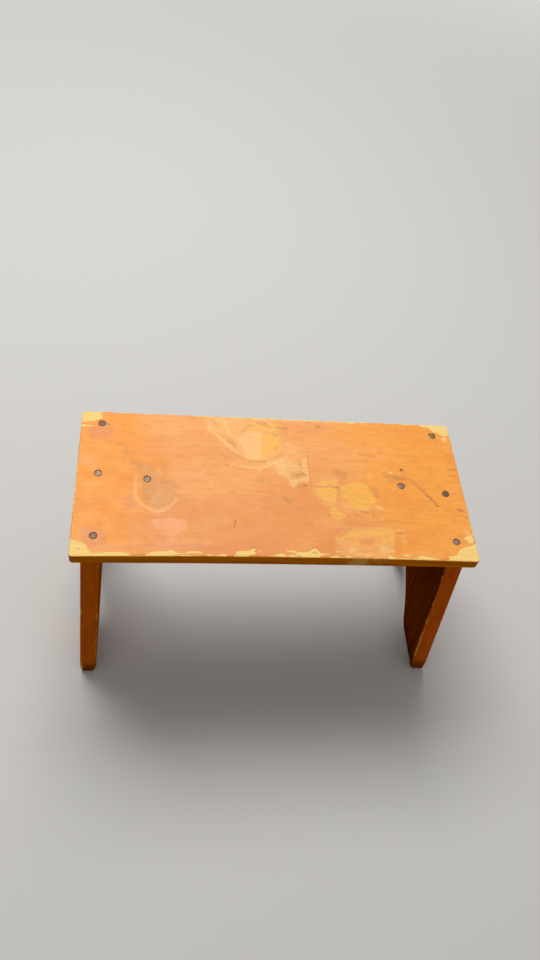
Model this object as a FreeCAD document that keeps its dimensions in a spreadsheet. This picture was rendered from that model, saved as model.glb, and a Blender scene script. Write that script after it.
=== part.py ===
# Shoe fitting stool: a plank seat nailed to two splayed plank legs, with a stretcher on edge between them.
# Millimetres, +Z up, +X along the seat towards the leg that splays more, -Y towards the front.
# The origin is on the floor, at the middle of the whole stool.
import FreeCAD, Part
import math
import os

import Sketcher

NODE_FOLDER = "parts"
POSITION_TOLERANCE = 1e-6
SMALLEST_CUT_SHARE = 1e-4
CUBIC_MM_PER_CUBIC_CM = 1000

# Driving sizes, each a plain number in millimetres or degrees.
SIZES = [
    ("seat_length", 400.0, "seat board, end to end"),
    ("seat_depth", 175.0, "seat board, front to back"),
    ("seat_thickness", 12.5, "seat board"),
    ("seat_corner_radius", 3.0, "seat board, its four corners seen from above"),
    ("seat_top_arris_radius", 1.6, "seat board, eased edge around the top"),
    ("seat_bottom_arris_radius", 0.8, "seat board, eased edge underneath"),
    ("overall_height", 250.0, "floor to seat top"),
    ("leg_thickness", 18.0, "leg plank"),
    ("leg_inset", 9.5, "seat end to the outer face of a leg, at the underside of the seat"),
    ("leg_edge_setback", 8.5, "seat front to the leg's front edge, at the underside of the seat"),
    ("leg_flare_angle", 5.0, "degrees that a leg's front and back edges lean outwards going down"),
    ("left_splay_angle", 3.1, "degrees that the left leg leans outwards going down"),
    ("right_splay_angle", 6.1, "degrees that the right leg leans outwards going down"),
    ("leg_arris_radius", 1.0, "leg plank, eased long edges"),
    ("foot_bevel_width", 1.8, "wear at the bottom of a leg, taken off each face"),
    ("foot_bevel_height", 14.0, "wear at the bottom of a leg, its height"),
    ("arch_width", 100.0, "cut-out between the two feet of a leg, at the floor"),
    ("arch_height", 70.0, "cut-out between the two feet of a leg, floor to its point"),
    ("arch_shift", 7.0, "seat centre line to the middle of the cut-out, towards the back"),
    ("arch_side_radius", 170.0, "cut-out, radius of each of its two curved sides"),
    ("stretcher_height", 60.0, "stretcher plank on edge"),
    ("stretcher_thickness", 18.0, "stretcher plank"),
    ("stretcher_shift", 2.5, "seat centre line to the middle of the stretcher, towards the back"),
    ("nail_length", 50.0, "nail, top of head to tip of point"),
    ("nail_radius", 1.45, "nail shank"),
    ("nail_head_radius", 3.4, "nail head"),
    ("nail_head_thickness", 1.2, "nail head"),
    ("nail_head_rim", 0.35, "bevel around the top of the nail head"),
    ("nail_point_length", 5.0, "tapered point of the nail"),
    ("nail_tip_radius", 0.3, "flat at the very tip of the nail"),
    ("nail_set", 0.3, "depth of the head's top below the wood"),
    ("bore_clearance", 0.05, "gap between a nail and its hole"),
    ("back_nail_edge", 15.5, "seat back edge to the rear nail of a leg"),
    ("front_nail_edge", 23.0, "seat front edge to the front nail of a leg"),
    ("left_middle_nail_shift", 8.0, "centre line back to the left leg's middle nail, clear of the end nails"),
    ("right_middle_nail_shift", 6.0, "centre line forward to the right leg's middle nail"),
    ("left_leg_nail_end", 21.0, "left seat end to the nails of the left leg"),
    ("right_leg_nail_end", 20.0, "right seat end to the nails of the right leg"),
    ("left_stretcher_nail_end", 69.5, "left seat end to the nail into the stretcher"),
    ("right_stretcher_nail_end", 67.0, "right seat end to the nail into the stretcher"),
    ("end_nail_spacing", 30.0, "between the two nails that pass through a leg into the stretcher"),
    ("cut_overrun", 5.0, "how far a cut runs past the wood"),
]

LEFT = -1
RIGHT = 1
SIDE_NAMES = {LEFT: "left", RIGHT: "right"}

document = FreeCAD.newDocument("shoe_fitting_stool")


# The sheet of sizes
def make_sheet():
    sheet = document.addObject("Spreadsheet::Sheet", "sizes")
    for row, (alias, value, note) in enumerate(SIZES, start=1):
        sheet.set(f"A{row}", alias)
        sheet.set(f"B{row}", str(value))
        sheet.set(f"C{row}", note)
        sheet.setAlias(f"B{row}", alias)
    document.recompute()
    return sheet


sheet = make_sheet()


# Derived sizes, as formulas on the sheet
UNDERSIDE = "(sizes.overall_height - sizes.seat_thickness)"
HALF_LENGTH = "(sizes.seat_length / 2)"
HALF_DEPTH = "(sizes.seat_depth / 2)"


def splay(side):
    return f"sizes.{SIDE_NAMES[side]}_splay_angle"


def outer_reach(side, height):
    """Distance from the middle of the seat to a leg's outer face at this height."""
    return f"({HALF_LENGTH} - sizes.leg_inset + ({UNDERSIDE} - {height}) * tan({splay(side)}))"


def level_thickness(side):
    """Thickness of a leaning leg, measured level."""
    return f"(sizes.leg_thickness / cos({splay(side)}))"


# The seat is moved along X so that the widest points of the two legs lie evenly about the origin
SEAT_MIDDLE = (f"(({outer_reach(LEFT, 'sizes.foot_bevel_height')}"
               f" - {outer_reach(RIGHT, 'sizes.foot_bevel_height')}) / 2)")


def outer_x(side, height):
    return f"({SEAT_MIDDLE} + {side} * {outer_reach(side, height)})"


def inner_x(side, height):
    return f"({SEAT_MIDDLE} + {side} * ({outer_reach(side, height)} - {level_thickness(side)}))"


def half_leg_depth(height):
    """Half of a leg's width, front to back, at this height."""
    return f"({HALF_DEPTH} - sizes.leg_edge_setback + ({UNDERSIDE} - {height}) * tan(sizes.leg_flare_angle))"


def number(formula):
    value = sheet.evalExpression(formula)
    return float(getattr(value, "Value", value))


# Sketch helpers
def origin_plane(body, role):
    return next(feature for feature in body.Origin.OriginFeatures if feature.Role == role)


def new_sketch(body, name, plane_role):
    sketch = body.newObject("Sketcher::SketchObject", name)
    sketch.AttachmentSupport = (origin_plane(body, plane_role), [""])
    sketch.MapMode = "FlatFace"
    return sketch


def pin_point(sketch, edge, end, formulas):
    """Hold one end of an edge at a place given by two formulas."""
    for kind, formula in zip(("DistanceX", "DistanceY"), formulas):
        constraint = sketch.addConstraint(Sketcher.Constraint(kind, -1, 1, edge, end, number(formula)))
        sketch.setExpression(f"Constraints[{constraint}]", formula)


def draw_polygon(sketch, corners):
    """Closed outline of straight lines through corners, each a pair of formulas."""
    places = [FreeCAD.Vector(number(x), number(y), 0) for x, y in corners]
    edges = []
    for start, end in zip(places, places[1:] + places[:1]):
        edges.append(sketch.addGeometry(Part.LineSegment(start, end)))
    for edge, following in zip(edges, edges[1:] + edges[:1]):
        sketch.addConstraint(Sketcher.Constraint("Coincident", edge, 2, following, 1))
    for edge, corner in zip(edges, corners):
        pin_point(sketch, edge, 1, corner)
    return edges


def arc_between(start, end, radius):
    """Arc from start to end, the shorter way, counter-clockwise about its centre."""
    half_chord = (end - start) * 0.5
    reach = math.sqrt(radius ** 2 - half_chord.Length ** 2)
    sideways = FreeCAD.Vector(-half_chord.y, half_chord.x, 0).normalize()
    centre = start + half_chord + sideways * reach
    angles = [math.atan2(point.y - centre.y, point.x - centre.x) for point in (start, end)]
    circle = Part.Circle(centre, FreeCAD.Vector(0, 0, 1), radius)
    return Part.ArcOfCircle(circle, angles[0], angles[1])


# PartDesign helpers
def checked_volume_drop(body, feature, before):
    """A pocket that cuts nothing shows no error, so its volume is compared."""
    drop = before - feature.Shape.Volume
    if drop < before * SMALLEST_CUT_SHARE:
        raise RuntimeError(f"{feature.Name} in {body.Name} cuts nothing")
    print(f"  {feature.Name}: removes {drop:.0f} mm3")


def pad_both_ways(body, sketch, name, length):
    pad = body.newObject("PartDesign::Pad", name)
    pad.Profile = sketch
    pad.Midplane = True
    pad.setExpression("Length", length)
    document.recompute()
    return pad


def pocket_both_ways(body, sketch, name, length):
    before = body.Shape.Volume
    pocket = body.newObject("PartDesign::Pocket", name)
    pocket.Profile = sketch
    pocket.Midplane = True
    pocket.setExpression("Length", length)
    document.recompute()
    checked_volume_drop(body, pocket, before)
    return pocket


def round_edges(body, base, name, radius, chosen):
    """Fillet on the edges of base for which chosen(edge) is true."""
    names = [f"Edge{index}" for index, edge in enumerate(base.Shape.Edges, start=1) if chosen(edge)]
    fillet = body.newObject("PartDesign::Fillet", name)
    fillet.Base = (base, names)
    fillet.setExpression("Radius", radius)
    document.recompute()
    return fillet


def edge_heights(edge):
    return [vertex.Z for vertex in edge.Vertexes]


def is_level_at(edge, height):
    return all(abs(z - height) < POSITION_TOLERANCE for z in edge_heights(edge))


def is_upright(edge):
    return max(edge_heights(edge)) - min(edge_heights(edge)) > POSITION_TOLERANCE


# Seat board, before its nail holes
def make_seat_blank():
    body = document.addObject("PartDesign::Body", "seat_blank")
    sketch = new_sketch(body, "seat_outline", "XY_Plane")
    ends = [f"({SEAT_MIDDLE} - {HALF_LENGTH})", f"({SEAT_MIDDLE} + {HALF_LENGTH})"]
    edges = [f"-{HALF_DEPTH}", HALF_DEPTH]
    draw_polygon(sketch, [(ends[0], edges[0]), (ends[1], edges[0]), (ends[1], edges[1]), (ends[0], edges[1])])
    sketch.setExpression("AttachmentOffset.Base.z", UNDERSIDE)
    pad = body.newObject("PartDesign::Pad", "seat_board_pad")
    pad.Profile = sketch
    pad.setExpression("Length", "sizes.seat_thickness")
    document.recompute()
    corners = round_edges(body, pad, "seat_corners", "sizes.seat_corner_radius", is_upright)
    top = number("sizes.overall_height")
    top_arris = round_edges(body, corners, "seat_top_arris", "sizes.seat_top_arris_radius",
                            lambda edge: is_level_at(edge, top))
    underside = number(UNDERSIDE)
    round_edges(body, top_arris, "seat_bottom_arris", "sizes.seat_bottom_arris_radius",
                lambda edge: is_level_at(edge, underside))
    return body


# Leg plank, before its nail holes
def draw_leg_section(sketch, side):
    """Front view: a leaning plank with level ends, worn narrower at the floor."""
    bevel = "sizes.foot_bevel_height"
    wear = f"{side} * sizes.foot_bevel_width"
    draw_polygon(sketch, [
        (outer_x(side, UNDERSIDE), UNDERSIDE),
        (outer_x(side, bevel), bevel),
        (f"({outer_x(side, '0')} - {wear})", "0"),
        (f"({inner_x(side, '0')} + {wear})", "0"),
        (inner_x(side, bevel), bevel),
        (inner_x(side, UNDERSIDE), UNDERSIDE),
    ])


def draw_flank(sketch, way):
    """Side view: the waste outside one leaning edge of the plank."""
    top = f"({UNDERSIDE} + sizes.cut_overrun)"
    bottom = "(0 - sizes.cut_overrun)"
    outside = f"{way} * ({half_leg_depth('0')} + 2 * sizes.cut_overrun)"
    draw_polygon(sketch, [
        (f"{way} * {half_leg_depth(top)}", top),
        (outside, top),
        (outside, bottom),
        (f"{way} * {half_leg_depth(bottom)}", bottom),
    ])


def draw_arch(sketch):
    """Side view: the pointed cut-out between the feet, two arcs that meet at the top."""
    half_width = "(sizes.arch_width / 2)"
    below = "(0 - sizes.cut_overrun)"
    front_end = f"(sizes.arch_shift - {half_width})"
    back_end = f"(sizes.arch_shift + {half_width})"
    apex = FreeCAD.Vector(number("sizes.arch_shift"), number("sizes.arch_height"), 0)
    left_foot = FreeCAD.Vector(number(front_end), 0, 0)
    right_foot = FreeCAD.Vector(number(back_end), 0, 0)
    drop = FreeCAD.Vector(0, number(below), 0)
    radius = number("sizes.arch_side_radius")
    right_side = sketch.addGeometry(arc_between(right_foot, apex, radius))
    left_side = sketch.addGeometry(arc_between(apex, left_foot, radius))
    left_drop = sketch.addGeometry(Part.LineSegment(left_foot, left_foot + drop))
    bottom = sketch.addGeometry(Part.LineSegment(left_foot + drop, right_foot + drop))
    right_drop = sketch.addGeometry(Part.LineSegment(right_foot + drop, right_foot))
    joins = [(right_side, 2, left_side, 1), (left_side, 2, left_drop, 1), (left_drop, 2, bottom, 1),
             (bottom, 2, right_drop, 1), (right_drop, 2, right_side, 1)]
    for join in joins:
        sketch.addConstraint(Sketcher.Constraint("Coincident", *join))
    pin_point(sketch, left_side, 1, ("sizes.arch_shift", "sizes.arch_height"))
    pin_point(sketch, left_side, 2, (front_end, "0"))
    pin_point(sketch, right_side, 1, (back_end, "0"))
    pin_point(sketch, bottom, 1, (front_end, below))
    pin_point(sketch, bottom, 2, (back_end, below))
    for side_arc in (right_side, left_side):
        constraint = sketch.addConstraint(Sketcher.Constraint("Radius", side_arc, radius))
        sketch.setExpression(f"Constraints[{constraint}]", "sizes.arch_side_radius")


def make_leg_blank(side):
    word = SIDE_NAMES[side]
    body = document.addObject("PartDesign::Body", f"{word}_leg_blank")
    section = new_sketch(body, f"{word}_leg_section", "XZ_Plane")
    draw_leg_section(section, side)
    foot_depth = f"(2 * {half_leg_depth('0')})"
    pad_both_ways(body, section, f"{word}_leg_plank", foot_depth)
    cut_length = "(2 * (sizes.seat_length + sizes.overall_height))"
    for way, edge_word in ((-1, "front"), (1, "back")):
        flank = new_sketch(body, f"{word}_leg_{edge_word}_waste", "YZ_Plane")
        draw_flank(flank, way)
        pocket_both_ways(body, flank, f"{word}_leg_{edge_word}_edge", cut_length)
    arch = new_sketch(body, f"{word}_leg_arch_outline", "YZ_Plane")
    draw_arch(arch)
    cut = pocket_both_ways(body, arch, f"{word}_leg_arch", cut_length)
    corners = [(number(half_leg_depth(height)), number(height)) for height in
               ("sizes.foot_bevel_height", UNDERSIDE)]

    def is_long_arris(edge):
        """The edge runs up a flank from the top of the bevel to the underside of the seat."""
        ends = sorted(edge.Vertexes, key=lambda vertex: vertex.Z)
        return len(ends) == 2 and all(
            abs(abs(end.Y) - depth) < POSITION_TOLERANCE and abs(end.Z - height) < POSITION_TOLERANCE
            for end, (depth, height) in zip(ends, corners))

    round_edges(body, cut, f"{word}_leg_arris", "sizes.leg_arris_radius", is_long_arris)
    return body


# Stretcher plank, before its nail holes
def make_stretcher_blank():
    body = document.addObject("PartDesign::Body", "stretcher_blank")
    sketch = new_sketch(body, "stretcher_section", "XZ_Plane")
    sketch.setExpression("AttachmentOffset.Base.z", "(0 - sizes.stretcher_shift)")
    bottom = f"({UNDERSIDE} - sizes.stretcher_height)"
    draw_polygon(sketch, [
        (inner_x(LEFT, UNDERSIDE), UNDERSIDE),
        (inner_x(LEFT, bottom), bottom),
        (inner_x(RIGHT, bottom), bottom),
        (inner_x(RIGHT, UNDERSIDE), UNDERSIDE),
    ])
    pad_both_ways(body, sketch, "stretcher_plank", "sizes.stretcher_thickness")
    return body


# Nails and their holes are turned from half outlines; the top of the head is at height 0
def turn_profile(name, corners, place):
    body = document.addObject("PartDesign::Body", name)
    sketch = new_sketch(body, f"{name}_profile", "XZ_Plane")
    draw_polygon(sketch, corners)
    turned = body.newObject("PartDesign::Revolution", f"{name}_turned")
    turned.Profile = sketch
    turned.ReferenceAxis = (sketch, ["V_Axis"])
    turned.Angle = 360
    for path, formula in place.items():
        body.setExpression(f"Placement.{path}", formula)
    return body


def make_nail(name, place):
    shoulder = "(sizes.nail_point_length - sizes.nail_length)"
    return turn_profile(name, [
        ("0", "0"),
        ("(sizes.nail_head_radius - sizes.nail_head_rim)", "0"),
        ("sizes.nail_head_radius", "(0 - sizes.nail_head_rim)"),
        ("sizes.nail_head_radius", "(0 - sizes.nail_head_thickness)"),
        ("sizes.nail_radius", "(0 - sizes.nail_head_thickness)"),
        ("sizes.nail_radius", shoulder),
        ("sizes.nail_tip_radius", "(0 - sizes.nail_length)"),
        ("0", "(0 - sizes.nail_length)"),
    ], place)


def make_bore(name, place):
    gap = "sizes.bore_clearance"
    shoulder = "(sizes.nail_point_length - sizes.nail_length)"
    return turn_profile(name, [
        ("0", "sizes.cut_overrun"),
        (f"(sizes.nail_head_radius + {gap})", "sizes.cut_overrun"),
        (f"(sizes.nail_head_radius + {gap})", f"(0 - sizes.nail_head_thickness - {gap})"),
        (f"(sizes.nail_radius + {gap})", f"(0 - sizes.nail_head_thickness - {gap})"),
        (f"(sizes.nail_radius + {gap})", shoulder),
        (f"(sizes.nail_tip_radius + {gap})", f"(0 - sizes.nail_length - {gap})"),
        ("0", f"(0 - sizes.nail_length - {gap})"),
    ], place)


# Where each nail goes, and which boards it passes through
def upright_place(x, y):
    return {"Base.x": x, "Base.y": y, "Base.z": "(sizes.overall_height - sizes.nail_set)"}


def seat_end_x(side, distance):
    return f"({SEAT_MIDDLE} + {side} * ({HALF_LENGTH} - {distance}))"


def level_place(side, height):
    """Square to the outer face of a leg, sunk by the nail's set."""
    return {
        "Base.x": f"({outer_x(side, height)} - {side} * sizes.nail_set * cos({splay(side)}))",
        "Base.y": "sizes.stretcher_shift",
        "Base.z": f"({height} - sizes.nail_set * sin({splay(side)}))",
        "Rotation.Axis.x": "0",
        "Rotation.Axis.y": "1",
        "Rotation.Axis.z": "0",
        "Rotation.Angle": f"({side} * (90 - {splay(side)}))",
    }


def nail_list():
    """Name, placement and boards of every nail."""
    nails = []
    for side in (LEFT, RIGHT):
        word = SIDE_NAMES[side]
        leg = f"{word}_leg"
        leg_x = seat_end_x(side, f"sizes.{word}_leg_nail_end")
        across = {
            "front": f"(sizes.front_nail_edge - {HALF_DEPTH})",
            "middle": f"(0 - {side} * sizes.{word}_middle_nail_shift)",
            "back": f"({HALF_DEPTH} - sizes.back_nail_edge)",
        }
        for place_word, y in across.items():
            nails.append((f"{word}_{place_word}_seat_nail", upright_place(leg_x, y), ("seat_board", leg)))
        top_x = seat_end_x(side, f"sizes.{word}_stretcher_nail_end")
        top_place = upright_place(top_x, "sizes.stretcher_shift")
        nails.append((f"{word}_stretcher_top_nail", top_place, ("seat_board", "stretcher")))
        middle = f"({UNDERSIDE} - sizes.stretcher_height / 2)"
        for place_word, way in (("upper", 1), ("lower", -1)):
            end_place = level_place(side, f"({middle} + {way} * sizes.end_nail_spacing / 2)")
            nails.append((f"{word}_{place_word}_stretcher_nail", end_place, (leg, "stretcher")))
    return nails


# A board is its blank with the holes of its nails cut out
def drill(name, blank, bores):
    tools = document.addObject("Part::Compound", f"{name}_bores")
    tools.Links = bores
    board = document.addObject("Part::Cut", f"{name}_drilled")
    board.Base = blank
    board.Tool = tools
    document.recompute()
    board.Label = name
    return board


def build():
    blanks = {
        "seat_board": make_seat_blank(),
        "left_leg": make_leg_blank(LEFT),
        "right_leg": make_leg_blank(RIGHT),
        "stretcher": make_stretcher_blank(),
    }
    bores = {name: [] for name in blanks}
    pieces = []
    for name, place, boards in nail_list():
        nail = make_nail(name, place)
        nail.Label = name
        pieces.append(nail)
        for board in boards:
            bores[board].append(make_bore(f"{name}_bore_in_{board}", place))
    document.recompute()
    for name, blank in blanks.items():
        pieces.append(drill(name, blank, bores[name]))
    document.recompute()
    return pieces


def check(pieces):
    """Stop before anything is written if a feature failed or a piece is not one sound solid."""
    for item in document.Objects:
        if "Invalid" in item.State or "Error" in item.State:
            raise RuntimeError(f"{item.Name} failed: {item.State}")
    for piece in pieces:
        if piece.Shape.isNull() or not piece.Shape.isValid() or len(piece.Shape.Solids) != 1:
            raise RuntimeError(f"{piece.Label} is not one valid solid")
        print(f"{piece.Label}: {piece.Shape.Volume / CUBIC_MM_PER_CUBIC_CM:.2f} cm3")


def export(pieces):
    os.makedirs(NODE_FOLDER, exist_ok=True)
    for piece in pieces:
        piece.Shape.exportStep(os.path.join(NODE_FOLDER, f"{piece.Label}.step"))


def print_extent(pieces):
    whole = Part.makeCompound([piece.Shape for piece in pieces]).optimalBoundingBox(False, False)
    print(f"whole stool: X {whole.XMin:.2f} to {whole.XMax:.2f}, Y {whole.YMin:.2f} to {whole.YMax:.2f},"
          f" Z {whole.ZMin:.2f} to {whole.ZMax:.2f}")


pieces = build()
check(pieces)
print_extent(pieces)
export(pieces)
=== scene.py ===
# %% [markdown]
# # A worn shoe fitting stool
#
# The real stool is a thin softwood seat nailed to two plank legs that lean outwards, with a stretcher
# on edge between them. Orange varnish covers it, worn through at the corners and along the edges.
#
# This lesson dresses a finished CAD model. The CAD says where every board and nail is. Blender adds
# what a hand would feel and an eye would see: softened edges, sunk nail heads, stains and bare wood.

# %% Load the CAD frame
import math

import bpy
import numpy as np
from mathutils import Matrix, Vector, noise
from mathutils.geometry import delaunay_2d_cdt


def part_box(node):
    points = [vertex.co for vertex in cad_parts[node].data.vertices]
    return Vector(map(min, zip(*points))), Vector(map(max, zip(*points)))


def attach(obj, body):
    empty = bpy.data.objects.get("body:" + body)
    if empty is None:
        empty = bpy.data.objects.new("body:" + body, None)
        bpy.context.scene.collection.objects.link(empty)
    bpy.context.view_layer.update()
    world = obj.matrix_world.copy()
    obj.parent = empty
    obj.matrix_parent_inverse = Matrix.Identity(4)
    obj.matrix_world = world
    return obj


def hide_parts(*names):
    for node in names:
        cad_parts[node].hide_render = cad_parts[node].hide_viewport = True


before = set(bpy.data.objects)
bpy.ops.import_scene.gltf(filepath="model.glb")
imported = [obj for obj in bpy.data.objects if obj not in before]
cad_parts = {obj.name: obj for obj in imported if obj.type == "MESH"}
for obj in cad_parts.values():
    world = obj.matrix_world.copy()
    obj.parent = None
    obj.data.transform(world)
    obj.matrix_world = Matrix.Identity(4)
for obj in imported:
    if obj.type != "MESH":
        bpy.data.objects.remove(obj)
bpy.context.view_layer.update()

MM = 0.001

# %% [markdown]
# ## Read the sizes from the frame
#
# A board that is modelled again has to be where the CAD board is. Its sizes could be typed a second
# time, but then they could disagree. So each one is measured on the CAD meshes: a board's corners are
# the outermost vertices at the height of its cut.

# %% Measure the boards
LEVEL_TOLERANCE = 0.01 * MM
FOOT_BEVEL_HEIGHT = 14 * MM


def frame_points(node):
    return np.array([vertex.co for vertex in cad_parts[node].data.vertices])


def level_span(node, height):
    """Lowest and highest corner of a node's vertices at one height."""
    points = frame_points(node)
    level = points[np.abs(points[:, 2] - height) < LEVEL_TOLERANCE]
    return level.min(axis=0), level.max(axis=0)


seat_low, seat_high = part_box("seat_board")
UNDERSIDE = seat_low.z
SEAT_MIDDLE = (seat_low.x + seat_high.x) / 2
HALF_LENGTH = (seat_high.x - seat_low.x) / 2
HALF_DEPTH = (seat_high.y - seat_low.y) / 2
SEAT_THICKNESS = seat_high.z - seat_low.z
LEG_LEVELS = [0.0, FOOT_BEVEL_HEIGHT, UNDERSIDE]
LEG_SPANS = {name: [level_span(name, height) for height in LEG_LEVELS]
             for name in ("left_leg", "right_leg")}
print(f"seat {2 * HALF_LENGTH / MM:.0f} x {2 * HALF_DEPTH / MM:.0f} x {SEAT_THICKNESS / MM:.1f} mm")

# %% [markdown]
# ## Camera
#
# The stool was photographed by someone standing over it, looking down at more than 50 degrees with the
# camera turned a little. Three angles say that plainly. The lens is a phone's main one. The lens could
# be set for either side of the picture; it is tied to the height, so that the width can't change it.

# %% Stand the camera where the photographer stood
CAMERA_PLACE = Vector((-0.1284, -0.4473, 0.8836))
CAMERA_YAW = math.radians(14.40)
CAMERA_PITCH = math.radians(53.59)
CAMERA_ROLL = math.radians(-13.33)
LENS = 28.79
SENSOR_HEIGHT = 36


def camera_axes(yaw, pitch, roll):
    """Right, up and forward of a camera that looks towards +Y and down, then rolls."""
    forward = Vector((math.sin(yaw) * math.cos(pitch), math.cos(yaw) * math.cos(pitch), -math.sin(pitch)))
    level = Vector((math.cos(yaw), -math.sin(yaw), 0))
    down = forward.cross(level)
    right = level * math.cos(roll) + down * math.sin(roll)
    return right, level * math.sin(roll) - down * math.cos(roll), forward


camera_data = bpy.data.cameras.new("camera")
camera_data.sensor_fit = "VERTICAL"
camera_data.sensor_height = SENSOR_HEIGHT
camera_data.lens = LENS
camera = bpy.data.objects.new("camera", camera_data)
right, up, forward = camera_axes(CAMERA_YAW, CAMERA_PITCH, CAMERA_ROLL)
camera.matrix_world = Matrix.Translation(CAMERA_PLACE) @ Matrix((right, up, -forward)).transposed().to_4x4()
bpy.context.scene.collection.objects.link(camera)
bpy.context.scene.camera = camera
print("camera at", [round(value, 3) for value in CAMERA_PLACE])

# %% [markdown]
# ## Node trees without the clutter
#
# Every finish here is a node tree, which takes many lines if each node is placed by hand. A small class
# that returns each node's output lets a formula be written from left to right instead.

# %% A short way to write node trees
class Wiring:
    """Adds nodes to a tree. Each method returns an output, so that formulas nest."""

    def __init__(self, tree):
        self.tree = tree

    def node(self, kind, inputs=(), **settings):
        made = self.tree.nodes.new(kind)
        for name, value in settings.items():
            setattr(made, name, value)
        for key, value in dict(inputs).items():
            self.put(made.inputs[key], value)
        return made

    def put(self, socket, value):
        if isinstance(value, bpy.types.NodeSocket):
            self.tree.links.new(value, socket)
        else:
            socket.default_value = value

    def math(self, operation, *values, clamp=False):
        made = self.node("ShaderNodeMath", enumerate(values), operation=operation, use_clamp=clamp)
        return made.outputs[0]

    def opposite(self, share):
        """What a share leaves of 1."""
        return self.math("SUBTRACT", 1.0, share)

    def vector(self, operation, *values):
        made = self.node("ShaderNodeVectorMath", operation=operation)
        sockets = [made.inputs[0], made.inputs["Scale"]] if operation == "SCALE" else made.inputs
        for socket, value in zip(sockets, values):
            self.put(socket, value)
        return made.outputs["Value" if operation in ("LENGTH", "DOT_PRODUCT") else "Vector"]

    def parts(self, vector):
        """A vector's X, Y and Z, each under its name."""
        return self.node("ShaderNodeSeparateXYZ", {"Vector": vector}).outputs

    def joined(self, x=0.0, y=0.0, z=0.0):
        return self.node("ShaderNodeCombineXYZ", {"X": x, "Y": y, "Z": z}).outputs[0]

    def attribute(self, name):
        return self.node("ShaderNodeAttribute", attribute_name=name).outputs["Fac"]

    def noise(self, vector, scale, detail=2.0, roughness=0.5):
        inputs = {"Vector": vector, "Scale": scale, "Detail": detail, "Roughness": roughness}
        return self.node("ShaderNodeTexNoise", inputs).outputs["Fac"]

    def stretched(self, vector, scales):
        """The same point in units that differ along X, Y and Z."""
        return self.vector("MULTIPLY", vector, scales)

    def smooth(self, value, low, high, top=1.0):
        """0 below low, top above high, and an even curve between them."""
        inputs = {"Value": value, "From Min": low, "From Max": high, "To Max": top}
        return self.node("ShaderNodeMapRange", inputs, interpolation_type="SMOOTHSTEP").outputs[0]

    def mix(self, share, first, second):
        """The first colour, with a share of the second in its place."""
        made = self.node("ShaderNodeMix", data_type="RGBA")
        for index, value in ((0, share), (6, first), (7, second)):
            self.put(made.inputs[index], value)
        return made.outputs[2]


def colour(red, green, blue):
    """A colour as a screen shows it, from 0 to 255, in the linear numbers that shaders work with."""
    shares = [value / 255 for value in (red, green, blue)]
    return (*(s / 12.92 if s <= 0.04045 else ((s + 0.055) / 1.055) ** 2.4 for s in shares), 1.0)


print("one mid grey in linear numbers:", [round(value, 3) for value in colour(128, 128, 128)])

# %% [markdown]
# ## Floor and light
#
# The light has to be plain, so that a colour renders about as it is written. One large soft lamp stands
# behind and above the stool, as a ceiling panel would, so that the top is bright and the faces towards
# the camera are in shade. The sky fills the shadows a little.
#
# A pale floor would also throw light up under the seat. It could be made darker, but then the picture
# would be too. The Light Path node shows the pale colour to the camera and to reflections only. Far from
# the stool, where the lamp fades, the same node lets the floor glow a little, so that it stays pale.

# %% Floor
FLOOR_SIZE = 12.0
FLOOR_SEEN = colour(216, 214, 210)
FLOOR_BOUNCE = colour(104, 102, 98)
FLOOR_ROUGHNESS = 0.9
FLOOR_SPECULAR = 0.1
SKY_SEEN = colour(226, 225, 222)
GLOW_START = 0.9
GLOW_FULL = 2.8


def seen_share(wiring):
    """1 for rays from the camera, a reflection or a clear material, and 0 for the rest."""
    path = wiring.node("ShaderNodeLightPath").outputs
    direct = wiring.math("ADD", path["Is Camera Ray"], path["Is Glossy Ray"])
    return wiring.math("ADD", direct, path["Is Transmission Ray"], clamp=True)


def make_floor():
    material = bpy.data.materials.new("floor_paint")
    material.use_nodes = True
    wiring = Wiring(material.node_tree)
    shader = material.node_tree.nodes["Principled BSDF"]
    seen = seen_share(wiring)
    wiring.put(shader.inputs["Base Color"], wiring.mix(seen, FLOOR_BOUNCE, FLOOR_SEEN))
    shader.inputs["Roughness"].default_value = FLOOR_ROUGHNESS
    shader.inputs["Specular IOR Level"].default_value = FLOOR_SPECULAR
    distance = wiring.vector("LENGTH", wiring.node("ShaderNodeTexCoord").outputs["Object"])
    far = wiring.math("MULTIPLY", wiring.smooth(distance, GLOW_START, GLOW_FULL), seen)
    glow = wiring.node("ShaderNodeEmission", {"Color": SKY_SEEN}).outputs[0]
    surface = wiring.node("ShaderNodeMixShader", {0: far, 1: shader.outputs[0], 2: glow}).outputs[0]
    wiring.put(material.node_tree.nodes["Material Output"].inputs["Surface"], surface)
    half = FLOOR_SIZE / 2
    mesh = bpy.data.meshes.new("floor")
    corners = [(-half, -half, 0), (half, -half, 0), (half, half, 0), (-half, half, 0)]
    mesh.from_pydata(corners, [], [(0, 1, 2, 3)])
    mesh.materials.append(material)
    floor = bpy.data.objects.new("floor", mesh)
    bpy.context.scene.collection.objects.link(floor)
    return floor


make_floor()

# %% Lamp and sky
LAMP_PLACE = Vector((-0.35, 1.00, 2.20))
LAMP_WIDTH = 1.5
LAMP_DEPTH = 1.0
LAMP_WATTS = 41
SKY_FILL = 0.30

lamp_data = bpy.data.lights.new("ceiling_panel", "AREA")
lamp_data.shape = "RECTANGLE"
lamp_data.size = LAMP_WIDTH
lamp_data.size_y = LAMP_DEPTH
lamp_data.energy = LAMP_WATTS
lamp = bpy.data.objects.new("ceiling_panel", lamp_data)
lamp.location = LAMP_PLACE
lamp.rotation_euler = (Vector((0, 0, UNDERSIDE)) - LAMP_PLACE).to_track_quat("-Z", "Y").to_euler()
bpy.context.scene.collection.objects.link(lamp)

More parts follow.
